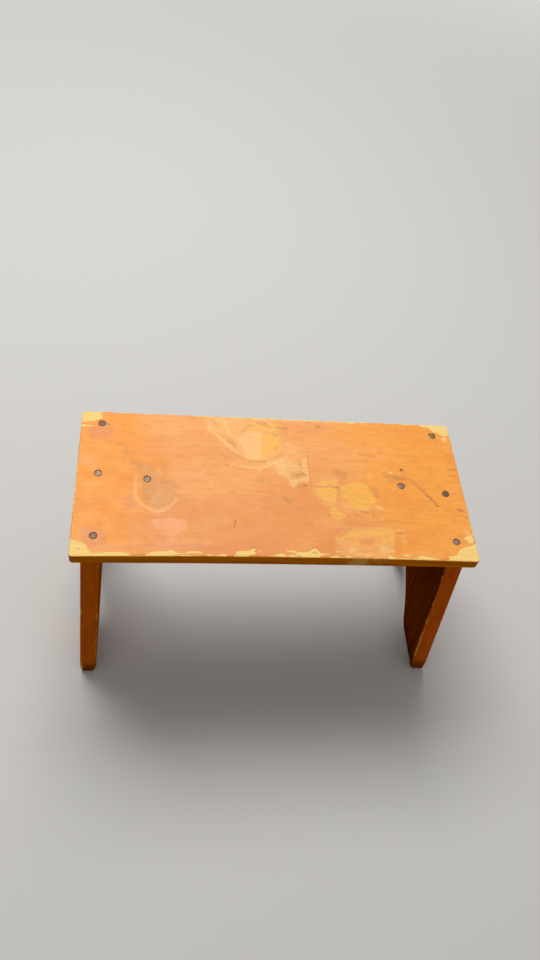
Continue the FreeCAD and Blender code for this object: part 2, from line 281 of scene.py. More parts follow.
world = bpy.data.worlds.new("sky")
world.use_nodes = True
bpy.context.scene.world = world
sky = Wiring(world.node_tree)
sky_colour = sky.mix(seen_share(sky), (SKY_FILL, SKY_FILL, SKY_FILL, 1), SKY_SEEN)
sky.put(world.node_tree.nodes["Background"].inputs["Color"], sky_colour)
bpy.context.scene.view_settings.view_transform = "Standard"
print(f"lamp of {LAMP_WATTS} W, {LAMP_PLACE.length:.2f} m away")

# %% [markdown]
# ## Outlines
#
# Each board starts as a flat outline. Its corners were rounded by plane, sandpaper and years of feet. A
# bevel modifier could round them, but the wear differs from place to place, so the points are laid
# out by a formula. They are close together, because later steps move each one a little.

# %% Outlines with rounded corners
CORNER_STEPS = 6


def rounded_outline(corners, spacing):
    """Points of a closed outline through corners (u, v, radius), which run counter-clockwise."""
    path = []
    for index, (u, v, radius) in enumerate(corners):
        corner = Vector((u, v))
        if radius == 0:
            path.append(corner)
            continue
        back = (Vector(corners[index - 1][:2]) - corner).normalized()
        ahead = (Vector(corners[(index + 1) % len(corners)][:2]) - corner).normalized()
        half_angle = back.angle(ahead) / 2
        centre = corner + (back + ahead).normalized() * radius / math.sin(half_angle)
        spoke = corner + back * radius / math.tan(half_angle) - centre
        for step in range(CORNER_STEPS + 1):
            turn = (math.pi - 2 * half_angle) * step / CORNER_STEPS
            path.append(centre + Matrix.Rotation(turn, 2) @ spoke)
    points = []
    for start, end in zip(path, path[1:] + path[:1]):
        parts = max(1, math.ceil((end - start).length / spacing))
        points += [start.lerp(end, part / parts)[:] for part in range(parts)]
    return np.array(points)


def arc(start, end, radius, steps):
    """Points from start to end on an arc whose centre lies to the left of that way."""
    half_chord = (end - start) / 2
    sideways = Vector((-half_chord.y, half_chord.x)).normalized()
    centre = start + half_chord + sideways * math.sqrt(radius ** 2 - half_chord.length ** 2)
    spoke = start - centre
    turn = 2 * math.asin(half_chord.length / radius)
    return [centre + Matrix.Rotation(turn * step / steps, 2) @ spoke for step in range(steps + 1)]


# %% [markdown]
# ## Distance fields
#
# A stain has a shape, and so has a worn corner. Both can be painted as a picture, but a picture has
# pixels. Here each vertex keeps how deep it is inside the shape, in millimetres. A shader that adds fine
# noise to this depth before it asks "inside or outside?" gets a ragged edge that stays sharp close up.

# %% Depth inside an outline, and depth inside a band
FAR_OUTSIDE = -20.0
CURVE_STEPS = 6


def nearest_on(points, start, end):
    """Distance of points from a straight run, and how far along it the nearest place is."""
    along = end - start
    share = np.clip((points - start) @ along / (along @ along), 0, 1)
    return np.linalg.norm(points - start - share[:, None] * along, axis=1), share


def depth_inside(points, outline):
    """How far points are inside a closed outline, and below zero outside it."""
    distance = np.full(len(points), np.inf)
    inside = np.zeros(len(points), bool)
    for start, end in zip(outline, np.roll(outline, -1, axis=0)):
        distance = np.minimum(distance, nearest_on(points, start, end)[0])
        if start[1] != end[1]:
            crosses = (start[1] > points[:, 1]) != (end[1] > points[:, 1])
            at = start[0] + (points[:, 1] - start[1]) * (end[0] - start[0]) / (end[1] - start[1])
            inside ^= crosses & (points[:, 0] < at)
    return np.where(inside, distance, -distance)


def depth_in_band(points, stops):
    """How far points are inside a line that is as wide at each stop (u, v, width) as that stop says."""
    depth = np.full(len(points), FAR_OUTSIDE)
    for start, end in zip(stops[:-1], stops[1:]):
        distance, share = nearest_on(points, np.array(start[:2]), np.array(end[:2]))
        width = start[2] + (end[2] - start[2]) * share
        depth = np.maximum(depth, width / 2 - distance)
    return depth


def softened(corners):
    """A closed curve that passes evenly through given corners."""
    corners = np.array(corners, float)
    before, after, next_after = (np.roll(corners, shift, axis=0) for shift in (1, -1, -2))
    curve = []
    for step in range(CURVE_STEPS):
        t = step / CURVE_STEPS
        curve.append(0.5 * (2 * corners + (after - before) * t
                            + (2 * before - 5 * corners + 4 * after - next_after) * t ** 2
                            + (3 * corners - before - 3 * after + next_after) * t ** 3))
    return np.stack(curve, axis=1).reshape(-1, 2)


def paint(points, marks):
    """Depth of points, in millimetres, inside the nearest of several marks."""
    depth = np.full(len(points), FAR_OUTSIDE)
    for mark in marks:
        is_band = len(mark[0]) == 3
        shape = np.array(mark, float) if is_band else softened(mark)
        low = shape[:, :2].min(axis=0) + FAR_OUTSIDE
        high = shape[:, :2].max(axis=0) - FAR_OUTSIDE
        near = np.flatnonzero(np.all((points > low) & (points < high), axis=1))
        measured = depth_in_band(points[near], shape) if is_band else depth_inside(points[near], shape)
        depth[near] = np.maximum(depth[near], measured)
    return depth


# %% [markdown]
# ## One way to make every board
#
# A board is its outline, its thickness and its arrises: the edges where two faces meet. On old wood no
# arris is alike from end to end. So rings of points climb from the back face round the edge and onto
# the show face, each moved in as the arris curves, and two triangulated sheets close the faces.
#
# Each vertex is also unfolded: it gets the place it would have if the edges were pressed flat beside
# the show face. A mark drawn on this flat map can run over an edge, as varnish wears off in life.

# %% Rings round the edge of a board
ARRIS_STEPS = 5
WALL_STEPS = 5
LEAD = 0.8
FAR = 20.0


def outward_of(outline):
    """The way out of a closed outline at each of its points."""
    along = np.roll(outline, -1, axis=0) - np.roll(outline, 1, axis=0)
    outward = np.column_stack([along[:, 1], -along[:, 0]])
    return outward / np.linalg.norm(outward, axis=1, keepdims=True)


def edge_rings(thickness, arris, back_arris):
    """For each ring: how far it lies in from the outline, its level, how far it is round the edge from
    the show face, how far from the back arris and the show arris, and how much it is wall."""
    wall = thickness - arris - back_arris
    quarter = math.pi / 2
    round_the_edge = quarter * (arris + back_arris) + wall
    rings = [(back_arris + LEAD, 0 * arris, round_the_edge + LEAD, LEAD, FAR, 0)]
    for step in range(ARRIS_STEPS + 1):
        share = step / ARRIS_STEPS
        inset, level = 1 - math.sin(share * quarter), 1 - math.cos(share * quarter)
        rings.append((back_arris * inset, back_arris * level, round_the_edge - quarter * back_arris * share,
                      0, wall, share))
    for step in range(1, WALL_STEPS):
        climbed = wall * step / WALL_STEPS
        rings.append((0 * arris, back_arris + climbed, quarter * arris + wall - climbed,
                      climbed, wall - climbed, 1))
    for step in range(ARRIS_STEPS + 1):
        share = step / ARRIS_STEPS
        inset, drop = 1 - math.cos(share * quarter), 1 - math.sin(share * quarter)
        rings.append((arris * inset, thickness - arris * drop, quarter * arris * (1 - share),
                      wall, 0, 1 - share))
    rings.append((arris + LEAD, thickness + 0 * arris, -LEAD + 0 * arris, FAR, LEAD, 0))
    return rings


# %% Sheets that close a face round the sunk places of nail heads
GRID_CLEAR_SHARE = 0.45
RECESS_STEPS = 24
# Radius and depth of each ring round a nail head, from the face down to where the head lies.
RECESS_RINGS = [(6.0, 0.0), (4.8, 0.04), (4.0, 0.1), (3.5, 0.25), (3.45, 1.55)]
KEEP_INSIDE = 1
MERGE_DISTANCE = 1e-6


def circle(centre, radius):
    turns = np.linspace(0, 2 * math.pi, RECESS_STEPS, endpoint=False)
    return np.column_stack([centre[0] + radius * np.cos(turns), centre[1] + radius * np.sin(turns)])


def fill(border, loops, spacing):
    """Triangles that fill a border and leave its loops open, over an even grid of points. The border's
    points come first, then the loops'. Also returns each point's distance from the border."""
    edges = []
    start = 0
    for rim in [border, *loops]:
        edges += [(start + i, start + (i + 1) % len(rim)) for i in range(len(rim))]
        start += len(rim)
    low, high = border.min(axis=0), border.max(axis=0)
    columns = np.arange(low[0] + spacing / 2, high[0], spacing)
    rows = np.arange(low[1] + spacing / 2, high[1], spacing)
    grid = np.stack(np.meshgrid(columns, rows), axis=-1).reshape(-1, 2)
    grid = grid[depth_inside(grid, border) > spacing * GRID_CLEAR_SHARE]
    for loop in loops:
        grid = grid[depth_inside(grid, loop) < -spacing * GRID_CLEAR_SHARE]
    points = np.concatenate([border, *loops, grid])
    vectors = [Vector(point) for point in points]
    triangles = np.array(delaunay_2d_cdt(vectors, edges, [], KEEP_INSIDE, MERGE_DISTANCE)[2])
    middles = points[triangles].mean(axis=1)
    open_places = [depth_inside(middles, loop) > 0 for loop in loops]
    triangles = triangles[~np.any(open_places, axis=0)] if loops else triangles
    triangles = triangles[depth_inside(points[triangles].mean(axis=1), border) > 0]
    return points, triangles, np.maximum(depth_inside(points, border), 0)


# %% A whole board
SHARP_ANGLE = math.radians(50)


class Board:
    """Points of one board in millimetres: u and v on its outline's plane, w from its back face up. rubs
    says how far the back and the show arris are rubbed bare at each point of the outline."""

    def __init__(self, outline, thickness, arris, back_arris, recesses, spacing, back_spacing, rubs):
        self.points, self.flat, self.worn, self.wall, self.shown = [], [], [], [], []
        self.faces = []
        self.count = 0
        self.recesses = recesses
        outward = outward_of(outline)
        around = len(outline)
        for inset, level, beyond, back_gap, gap, wall in edge_rings(thickness, arris, back_arris):
            plan = outline - outward * inset[:, None]
            worn = np.maximum(rubs[0] - back_gap, rubs[1] - gap)
            self.add(plan, level, outline + outward * (beyond - arris)[:, None], worn, wall, True)
        ring_count = self.count // around
        for ring in range(ring_count - 1):
            self.join_rings(ring * around, (ring + 1) * around, around)
        self.add_sheet(0, around, [], back_spacing, 0.0, False)
        loops = [circle(centre, RECESS_RINGS[0][0]) for centre in recesses]
        first_loop = self.add_sheet((ring_count - 1) * around, around, loops, spacing, thickness, True)
        for number, centre in enumerate(recesses):
            self.add_recess(first_loop + number * RECESS_STEPS, centre, thickness)

    def add(self, plan, level, flat, worn, wall, shown):
        size = len(plan)
        self.points.append(np.column_stack([plan, np.broadcast_to(level, size)]))
        self.flat.append(flat)
        for values, value in ((self.worn, worn), (self.wall, wall), (self.shown, shown)):
            values.append(np.broadcast_to(value, size))
        self.count += size

    def join_rings(self, lower, upper, around):
        for i in range(around):
            after = (i + 1) % around
            self.faces.append((lower + i, lower + after, upper + after, upper + i))

    def add_sheet(self, ring_start, around, loops, spacing, level, shown):
        """Closes a face from a ring inwards, and returns where its first loop's points are."""
        border = np.concatenate(self.points)[ring_start:ring_start + around, :2]
        points, triangles, depth = fill(border, loops, spacing)
        first_new = self.count
        fresh = points[around:]
        self.add(fresh, level, fresh, -LEAD - depth[around:], 0, shown)
        index = np.concatenate([np.arange(around) + ring_start, np.arange(len(fresh)) + first_new])
        for triangle in index[triangles]:
            self.faces.append(tuple(triangle if shown else triangle[::-1]))
        return first_new

    def add_recess(self, rim_start, centre, thickness):
        for radius, depth in RECESS_RINGS[1:]:
            ring = circle(centre, radius)
            next_start = self.count
            self.add(ring, thickness - depth, ring, -FAR, 0, True)
            self.join_rings(rim_start, next_start, RECESS_STEPS)
            rim_start = next_start
        self.faces.append(tuple(range(rim_start, rim_start + RECESS_STEPS)))

    def finish(self, name, place, marks):
        """The board as an object. place turns its points to metres, marks are attributes to paint."""
        points, flat = np.concatenate(self.points), np.concatenate(self.flat)
        shown = np.concatenate(self.shown)
        mesh = bpy.data.meshes.new(name)
        mesh.from_pydata(place(points).tolist(), [], self.faces)
        nail = np.full(len(points), FAR)
        for centre in self.recesses:
            nail = np.minimum(nail, np.where(shown, np.linalg.norm(flat - np.array(centre), axis=1), FAR))
        values = {"worn": np.concatenate(self.worn), "wall": np.concatenate(self.wall), "nail": nail}
        for mark, shapes in marks.items():
            values[mark] = np.where(shown, paint(flat, shapes), FAR_OUTSIDE)
        for attribute, numbers in values.items():
            layer = mesh.attributes.new(attribute, "FLOAT", "POINT")
            layer.data.foreach_set("value", np.clip(numbers, FAR_OUTSIDE, FAR).astype(np.float32))
        mesh.shade_smooth()
        mesh.set_sharp_from_angle(angle=SHARP_ANGLE)
        board = bpy.data.objects.new(name, mesh)
        bpy.context.scene.collection.objects.link(board)
        print(f"{name}: {len(points)} points, {len(self.faces)} faces")
        return board


def uneven(outline, seed, size):
    """A value from -1 to 1 for each point of an outline that changes over about the given size."""
    return np.array([noise.noise(Vector((u / size, v / size, seed))) for u, v in outline])


# %% [markdown]
# ## The nails
#
# Twelve wire nails hold the stool. They are alike but not the same: each head was struck by a hammer and
# lies turned its own way. Copying a nail by hand twelve times would hide that they are one thing. A
# Geometry Nodes tree makes one nail from its sizes and sets it on twelve points, which carry the way
# that each head faces and how bright feet and dirt have left it.
#
# The heads' places come from the CAD nails. Realize Instances turns the copies into real mesh, on which
# the dents are pressed last, so that no two are the same.

# %% Where the nail heads are
# How bright each nail's head is, from 0 to 1.
HEAD_SHINE = {
    "left_back_seat_nail": 0.25, "left_middle_seat_nail": 0.7, "left_front_seat_nail": 0.35,
    "right_back_seat_nail": 0.55, "right_middle_seat_nail": 0.2, "right_front_seat_nail": 0.8,
    "left_stretcher_top_nail": 0.6, "right_stretcher_top_nail": 0.8,
    "left_upper_stretcher_nail": 0.3, "left_lower_stretcher_nail": 0.5,
    "right_upper_stretcher_nail": 0.5, "right_lower_stretcher_nail": 0.35}


def nail_head(node):
    """The middle of a nail's head, and the way it faces."""
    low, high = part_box(node)
    middle = (low + high) / 2
    if high.z - low.z > high.x - low.x:
        return Vector((middle.x, middle.y, high.z)), Vector((0, 0, 1))
    if middle.x < 0:
        return Vector((low.x, middle.y, middle.z)), Vector((-1, 0, 0))
    return Vector((high.x, middle.y, middle.z)), Vector((1, 0, 0))


heads = {node: nail_head(node) for node in HEAD_SHINE}
TOP_NAILS = [(head.x / MM, head.y / MM) for head, facing in heads.values() if facing.z > 0]
print(len(heads), "nails, of which", len(TOP_NAILS), "in the seat")

# %% A tree that makes the nails
# The head's profile: shares of its radius and of its thickness.
HEAD_SHARES = [(0.005, 0.0), (0.45, 0.01), (0.76, 0.02), (0.91, 0.07), (1.0, 0.3), (1.0, 0.88), (0.95, 1.0)]
SHANK_TOP_SHARE = 1.1
TIP_SHARE = 0.2
NAIL_SIDES = 28
FULL_TURN = 6.28
NAIL_SIZES = {"Head radius": 3.4 * MM, "Head thickness": 1.2 * MM, "Shank radius": 1.45 * MM,
              "Length": 50 * MM, "Point length": 5 * MM, "Dent depth": 0.16 * MM, "Dent size": 2.2 * MM}


def nail_tree(material):
    """A Geometry Nodes tree that sets a nail on each point, sized by its inputs."""
    tree = bpy.data.node_groups.new("nails_on_points", "GeometryNodeTree")
    for direction in ("INPUT", "OUTPUT"):
        tree.interface.new_socket("Geometry", in_out=direction, socket_type="NodeSocketGeometry")
    for name in NAIL_SIZES:
        tree.interface.new_socket(name, in_out="INPUT", socket_type="NodeSocketFloat")
    tree.interface.new_socket("Seed", in_out="INPUT", socket_type="NodeSocketInt")
    w = Wiring(tree)
    given = w.node("NodeGroupInput").outputs
    index = w.node("GeometryNodeInputIndex").outputs[0]
    drops = [w.math("MULTIPLY", given["Head thickness"], drop) for _, drop in HEAD_SHARES]
    radii = [w.math("MULTIPLY", given["Head radius"], share) for share, _ in HEAD_SHARES]
    shank_top = w.math("MULTIPLY", given["Head thickness"], SHANK_TOP_SHARE)
    drops += [shank_top, w.math("SUBTRACT", given["Length"], given["Point length"]), given["Length"]]
    tip = w.math("MULTIPLY", given["Shank radius"], TIP_SHARE)
    radii += [given["Shank radius"], given["Shank radius"], tip]
    line = w.node("GeometryNodeCurvePrimitiveLine").outputs[0]
    line = w.node("GeometryNodeResampleCurve", {"Curve": line, "Count": len(drops)}).outputs[0]
    place = w.joined(z=w.math("MULTIPLY", pick(w, index, drops), -1.0))
    line = w.node("GeometryNodeSetPosition", {"Geometry": line, "Position": place}).outputs[0]
    ring = w.node("GeometryNodeCurvePrimitiveCircle", {"Resolution": NAIL_SIDES, "Radius": 1.0}).outputs[0]
    nail = w.node("GeometryNodeCurveToMesh", {"Curve": line, "Profile Curve": ring, "Fill Caps": True,
                                              "Scale": pick(w, index, radii)})
    facing = carried(w, "facing")
    upright = w.node("FunctionNodeAlignRotationToVector", {"Vector": facing}, axis="Z").outputs[0]
    spin = w.node("FunctionNodeRandomValue", {3: FULL_TURN, "Seed": given["Seed"]}, data_type="FLOAT")
    spin = w.node("FunctionNodeEulerToRotation", {"Euler": w.joined(z=spin.outputs[1])}).outputs[0]
    turn = w.node("FunctionNodeRotateRotation", {"Rotation": upright, "Rotate By": spin},
                  rotation_space="LOCAL").outputs[0]
    inputs = {"Points": given["Geometry"], "Instance": nail.outputs[0], "Rotation": turn}
    nails = w.node("GeometryNodeInstanceOnPoints", inputs).outputs[0]
    nails = w.node("GeometryNodeRealizeInstances", {"Geometry": nails}).outputs[0]
    here = w.node("GeometryNodeInputPosition").outputs[0]
    below = w.vector("DOT_PRODUCT", w.vector("SUBTRACT", carried(w, "head"), here), facing)
    size = w.math("DIVIDE", 1.0, given["Dent size"])
    seeded = w.vector("ADD", w.vector("SCALE", here, size), w.joined(given["Seed"]))
    dent = w.math("MULTIPLY", w.noise(seeded, 1.0, 2.0), given["Dent depth"])
    near_top = w.math("SUBTRACT", 1.0, w.math("DIVIDE", below, given["Head thickness"]), clamp=True)
    push = w.vector("SCALE", facing, w.math("MULTIPLY", w.math("MULTIPLY", dent, near_top), -1.0))
    nails = w.node("GeometryNodeSetPosition", {"Geometry": nails, "Offset": push}).outputs[0]
    nails = w.node("GeometryNodeSetShadeSmooth", {"Geometry": nails}).outputs[0]
    nails = w.node("GeometryNodeSetMaterial", {"Geometry": nails, "Material": material}).outputs[0]
    w.node("NodeGroupOutput", {"Geometry": nails})
    return tree


def carried(w, name):
    """A vector that each point carries under a name."""
    return w.node("GeometryNodeInputNamedAttribute", {"Name": name}, data_type="FLOAT_VECTOR").outputs[0]


def pick(w, index, values):
    """The value whose number in the list is the index."""
    switch = w.node("GeometryNodeIndexSwitch", data_type="FLOAT")
    while len(switch.index_switch_items) < len(values):
        switch.index_switch_items.new()
    w.put(switch.inputs["Index"], index)
    for number, value in enumerate(values):
        w.put(switch.inputs[str(number)], value)
    return switch.outputs[0]


def made_by_tree(name, points, attributes, tree, sizes):
    """The plain mesh that a tree makes from points, with nothing left live on it."""
    mesh = bpy.data.meshes.new(name + "_points")
    mesh.from_pydata(points, [], [])
    for attribute, (kind, field, numbers) in attributes.items():
        layer = mesh.attributes.new(attribute, kind, "POINT")
        layer.data.foreach_set(field, np.array(numbers, np.float32).ravel())
    holder = bpy.data.objects.new(name + "_points", mesh)
    bpy.context.scene.collection.objects.link(holder)
    modifier = holder.modifiers.new(name, "NODES")
    modifier.node_group = tree
    for socket in tree.interface.items_tree:
        if socket.in_out == "INPUT" and socket.name in sizes:
            modifier[socket.identifier] = sizes[socket.name]
    evaluated = holder.evaluated_get(bpy.context.evaluated_depsgraph_get())
    made = bpy.data.objects.new(name, bpy.data.meshes.new_from_object(evaluated))
    bpy.context.scene.collection.objects.link(made)
    holder.modifiers.remove(modifier)
    bpy.data.objects.remove(holder)
    print(f"{name}: {len(made.data.polygons)} faces")
    return made


# %% [markdown]
# ## Wood under the varnish
#
# A softwood board shows the growth rings of its tree. On the seat they are long lines that wander
# slowly. A picture of wood could be wrapped round the board, but it would not agree at the edges. A
# solid pattern does: the rings are tubes round the tree's middle, and the board cuts through them.

# %% Growth rings and fibres
RING_SPACING = 4.2
TREE_TAPER = 0.06
WANDER_SCALES = (0.006, 0.02, 0.02)
LATE_WOOD = (0.35, 0.9)
NEW_YEAR = (0.93, 1.0)
FIBRE_ROUGHNESS = 0.6


def along_grain(w, grain_axis):
    """The place in millimetres, with X along the grain."""
    place = w.vector("SCALE", w.node("ShaderNodeTexCoord").outputs["Object"], 1 / MM)
    if grain_axis == "X":
        return place
    parts = w.parts(place)
    return w.joined(parts["Z"], parts["Y"], parts["X"])


def growth_rings(w, place, middle_of_tree, waviness):
    """How late in its year the wood at a place grew, from 0 to 1."""
    leaning = w.vector("SUBTRACT", place, middle_of_tree)
    wander = w.math("MULTIPLY", w.noise(w.stretched(place, WANDER_SCALES), 1.0, 2.0), waviness)
    distance = w.vector("LENGTH", w.vector("MULTIPLY", leaning, (TREE_TAPER, 1.0, 1.0)))
    year = w.math("FRACT", w.math("DIVIDE", w.math("ADD", distance, wander), RING_SPACING))
    return w.math("MULTIPLY", w.smooth(year, *LATE_WOOD), w.opposite(w.smooth(year, *NEW_YEAR)))


def fibres(w, place, length, width, detail=3.0):
    """Fine streaks along the grain, from 0 to 1, of about the given length and width."""
    return w.noise(w.stretched(place, (1 / length, 1 / width, 1 / width)), 1.0, detail, FIBRE_ROUGHNESS)


# %% [markdown]
# ## Worn orange varnish
#
# The colour of the seat is not one colour. Feet have rubbed the varnish thin in some places, liquids have
# left yellow and brown marks, and at the corners it is gone. The pale hazed patches and the pinker ones are
# in part painted sheen. Each kind of mark is one attribute and one mix node, and its edge is broken by
# noise, because varnish chips and never fades evenly.

# %% Marks on the seat, in millimetres
# A mark is a closed curve through its corners (x, y), or a line through stops (x, y, width).
BARE = [
    [(-208, 92), (-182, 91), (-186, 84.5), (-184, 80.5), (-186, 78), (-192, 75.5), (-198, 74), (-208, 73)],
    [(-208, 70), (-197, 69.5), (-190, 67.6), (-197, 66.8), (-208, 66.5)],
    [(-113, 91), (-97, 91), (-98, 88), (-106, 87), (-112, 87.6)],
    [(-55, 91), (-50, 91), (-50, 87.6), (-54, 87.4)],
    [(-28, 89.2, 1.4), (2, 88.6, 2.2), (24, 88.0, 2.0), (48, 88.6, 2.4), (60, 89.2, 1.2)],
    [(77, 88.5), (80, 85), (86, 84.8), (88, 87), (89, 90), (78, 90)],
    [(100, 89.4, 1.4), (128, 89.2, 1.4)],
    [(158, 91), (162, 85), (167, 83.4), (172, 82.6), (174, 79.6), (178, 77), (183, 74), (188, 71.8),
     (191, 73), (197, 74), (197, 91)],
    [(184, 67), (186, 70.4), (189.4, 70), (190, 67), (187, 64.5)],
    [(184, -58.5), (188, -56.8), (192, -57), (193, -62), (190, -66), (186, -64.5), (183, -61)],
    [(197, -67), (189, -68), (183, -70), (178, -71.5), (174, -75), (172, -79), (167, -80.8), (161, -81.8),
     (164, -84.6), (160, -87.6), (197, -89.4)],
    [(130, -82.8), (137, -82), (144, -82.6), (149, -84), (153, -86.4), (142, -87), (131, -85)],
    [(114, -81), (118, -79.6), (123, -80), (124.5, -81.6), (119, -83)],
    [(99, -87), (100, -83), (104, -82.4), (106, -84), (112, -87)],
    [(-3, -78.6), (5, -78.2), (11, -79.6), (18, -79), (22, -77.6), (24, -75.6), (28.5, -75.4), (30, -78),
     (33, -80.2), (45, -81), (38, -82.6), (31, -84.4), (30, -86.6), (18, -86.4), (10, -84.6), (2, -86.4),
     (0, -84), (9, -82.2), (4, -80.6)],
    [(-51, -81), (-45, -79.6), (-38, -79), (-34, -76.6), (-30.5, -76), (-32.5, -79), (-30.5, -82),
     (-35, -84.4), (-40, -85), (-44, -87), (-49, -86), (-55, -85.4), (-50, -83.4)],
    [(-16, -85.6), (-9, -82.6), (-4, -82.8), (-2, -86)],
    [(-135, -84), (-128, -81.6), (-118, -80.6), (-110, -79.4), (-107, -82), (-100, -82), (-92, -80),
     (-87, -79.6), (-82, -81.6), (-88, -83), (-101, -84.4), (-110, -85.6), (-120, -87.4), (-135, -87.4)],
    [(-208, -69.6), (-200, -70), (-194, -72), (-191, -75), (-188, -79), (-186, -82), (-182, -83),
     (-170, -82), (-160, -82), (-152, -82.6), (-150, -85), (-152, -87), (-176, -87.6), (-190, -89),
     (-200, -91), (-209, -93)],
    [(-83, -84.6, 1.6), (-55, -84.8, 1.0)], [(48, -79.4, 1.8), (55, -79, 1.6), (75, -79.6, 1)],
    [(45, -84.6, 1.2), (60, -84.4, 1.8)], [(-30, -79.6, 1.6), (-21, -79.4, 1.2)],
    [(112, -86, 1.2), (130, -85.6, 1.4)],
    [(-190, -87.4, 1.8), (-120, -86.0, 1.4), (-70, -85.6, 1.4), (0, -85.4, 1.4), (70, -85.6, 1.2),
     (130, -86.2, 1.6), (185, -87.6, 1.8)],
    [(-172, 87.6, 1.8), (-110, 87.8, 2), (-60, 87.6, 2.2), (60, 87.6, 2.4), (120, 87.8, 2.2),
     (170, 87.4, 2.2)],
    [(-100, 87, 1), (-60, 86.6, 1.6), (-20, 86.4, 1.8), (24, 86.4, 2), (68, 86.6, 1.8), (96, 87, 1.2)],
    [(-205.8, 24, 1.0), (-205.6, 0, 1.6), (-205.4, -28, 1.4), (-205.8, -52, 1.0)],
    [(193.8, -34, 1.2), (193.6, -56, 1.8)], [(117, 19, 2.6), (120, 18.2, 2.4)],
    [(80.6, 40.6, 2.4), (82, 39.2, 1.8)], [(-80.6, 14, 1.8), (-78.6, 11.4, 1.4)],
    [(-71.6, 0.8, 1.2), (-66, 0, 1.4)], [(100, -25, 2.2), (102, -28, 1.6)]]

THIN = [
    [(-71, 92), (-69, 84), (-65, 81), (-59, 80), (-56, 84), (-56, 92)],
    [(-74, 77, 3.4), (-73, 70, 4.2), (-68, 65, 4.6), (-62, 58, 3.6), (-57, 52, 3.8), (-52, 46, 3.8),
     (-47, 41, 3.2), (-41, 37.6, 1.6)],
    [(-57, 90, 4.4), (-56, 80, 4.0), (-55, 72, 4.8), (-52, 66, 4.8), (-50, 63, 2.6)],
    [(-44, 58), (-40, 62), (-36, 66), (-30, 68), (-24, 69), (-18, 67.4), (-15, 64), (-17, 58), (-18, 50),
     (-19, 42), (-18, 33), (-24, 30), (-34, 31), (-38, 38), (-40, 46), (-43, 54)],
    [(-52, 24, 2), (-40, 23, 3.4), (-30, 20.4, 3.6), (-22, 19.4, 3.8), (-12, 25, 5), (-6, 28, 5),
     (0, 30.6, 4.6), (6, 34.4, 3)],
    [(-6, 20), (-1, 28), (6, 33), (13, 28), (20, 30), (28, 36), (29, 26), (29, 8), (27, 3), (18, 3),
     (14, -2), (9, -2), (7, 6), (3, 10), (-2, 13)],
    [(-147.6, 6, 1), (-148, -5, 1.6), (-147.4, -18, 2), (-143, -26, 2.6), (-137, -31, 2.2),
     (-130, -35, 2.4), (-121, -35.4, 3), (-115, -31.6, 2), (-110, -25, 3), (-106, -21, 1.6)],
    [(-60, 86.6, 1.4), (-36, 86.2, 2.2), (-10, 86.4, 1.6), (14, 86, 2.4), (40, 86.2, 1.6),
     (66, 86.2, 2.2), (96, 86.6, 1.4)],
    [(-126, 14, 1), (-125, 4, 1.6)], [(-123, -36.4), (-119.6, -37), (-118.6, -34), (-122, -33.6)],
    [(-110, -25), (-106, -22), (-107, -20), (-110, -22)], [(61, -74), (66, -73), (70, -79), (63, -81)],
    [(92, -72), (98, -70), (105, -74), (105, -80), (94, -80)],
    [(96, -25), (99, -23), (103, -26), (105, -28.4), (99, -29)], [(97.6, -38, 1.4), (100.4, -39.4, 1.6)],
    [(186, -50, 3), (190, -57, 4)], [(60, -80, 2), (76, -81.6, 3), (98, -81, 2)],
    [(50, -63, 1.2), (54, -68, 1.8), (58.6, -72.4, 1.8)],
    [(69, -26, 1), (74, -28, 1.6), (84, -29.6, 1.4)], [(42, -8, 2), (46, -9, 2.8)],
    [(109, -54, 1.4), (107, -66, 1.6), (105, -78, 2)],
    [(120.4, -56, 1.6), (119, -62, 2), (118, -69, 1.6)], [(110.6, -52.4, 1.2), (120, -52.6, 1.4)]]

YELLOW = [
    [(-18, 61), (-12, 66), (-6, 66.6), (0, 62), (2, 56), (0, 48), (-3, 42), (-10, 37), (-17, 35.6),
     (-19.6, 40), (-18, 50)],
    [(-31, 75.6), (-27, 79), (-22, 79.6), (-17, 76.6), (-12, 73), (-14, 69), (-20, 72), (-27, 72)],
    [(-10, 74), (-6, 80), (-2, 76), (-4, 70), (-9, 69)],
    [(42, 7), (58, 7.6), (58, 2), (50, 0.6), (42, 1)],
    [(36, -5), (42, -2.6), (56, -4), (56, -11), (54, -18), (46, -19), (40, -15)],
    [(60, -8), (62, -1), (67, 2.6), (77, 5.4), (88, 3), (94, -6), (96, -16), (92, -23), (84, -28.6),
     (72, -27), (67, -20), (62.6, -13)],
    [(48, -27), (54, -25), (58, -31), (62.6, -36.6), (59, -40), (52.6, -40.4), (47, -36)],
    [(91.6, 15), (94, 18.8), (96.8, 17), (96, 12.6), (93, 11.8)],
    [(54, -65, 2), (59, -61, 3.4), (68, -57.6, 3.8), (84, -56.4, 4.2), (97, -58.4, 4.2), (99, -64, 3),
     (97, -70, 2)],
    [(64, -71, 2), (70, -68, 3)], [(-114, -6, 2), (-110, -9, 3)], [(106.4, -53, 1.6), (107, -63, 1.6)]]

# Pale hazed varnish. In part these patches are painted sheen: a broad reflection of light painted into the
# colour.
HAZE_AND_SHEEN = [
    [(49, -63), (57, -58), (72, -52), (100, -49), (108, -52), (107, -66), (105, -80), (96, -86),
     (62, -86), (52, -76)],
    [(-78, 84), (-66, 66), (-50, 46), (-40, 36), (-20, 24), (0, 22), (26, 40), (20, 52), (2, 62),
     (-2, 84), (-40, 88)],
    [(-52, 27), (-30, 26), (-6, 22), (10, 34), (-10, 38), (-36, 32)],
    [(31, -4), (36, 5), (44, 8), (54, 7), (58, -4), (54, -22), (46, -26), (38, -20), (33, -12)],
    [(57, -6), (61, -10), (67, -20), (73, -28), (64, -32), (58, -26), (55, -17)],
    [(52, -72), (60, -80), (58, -84), (48, -80)],
    [(-133, -22), (-126, -30), (-116, -28), (-110, -18), (-116, -10), (-126, -12)]]

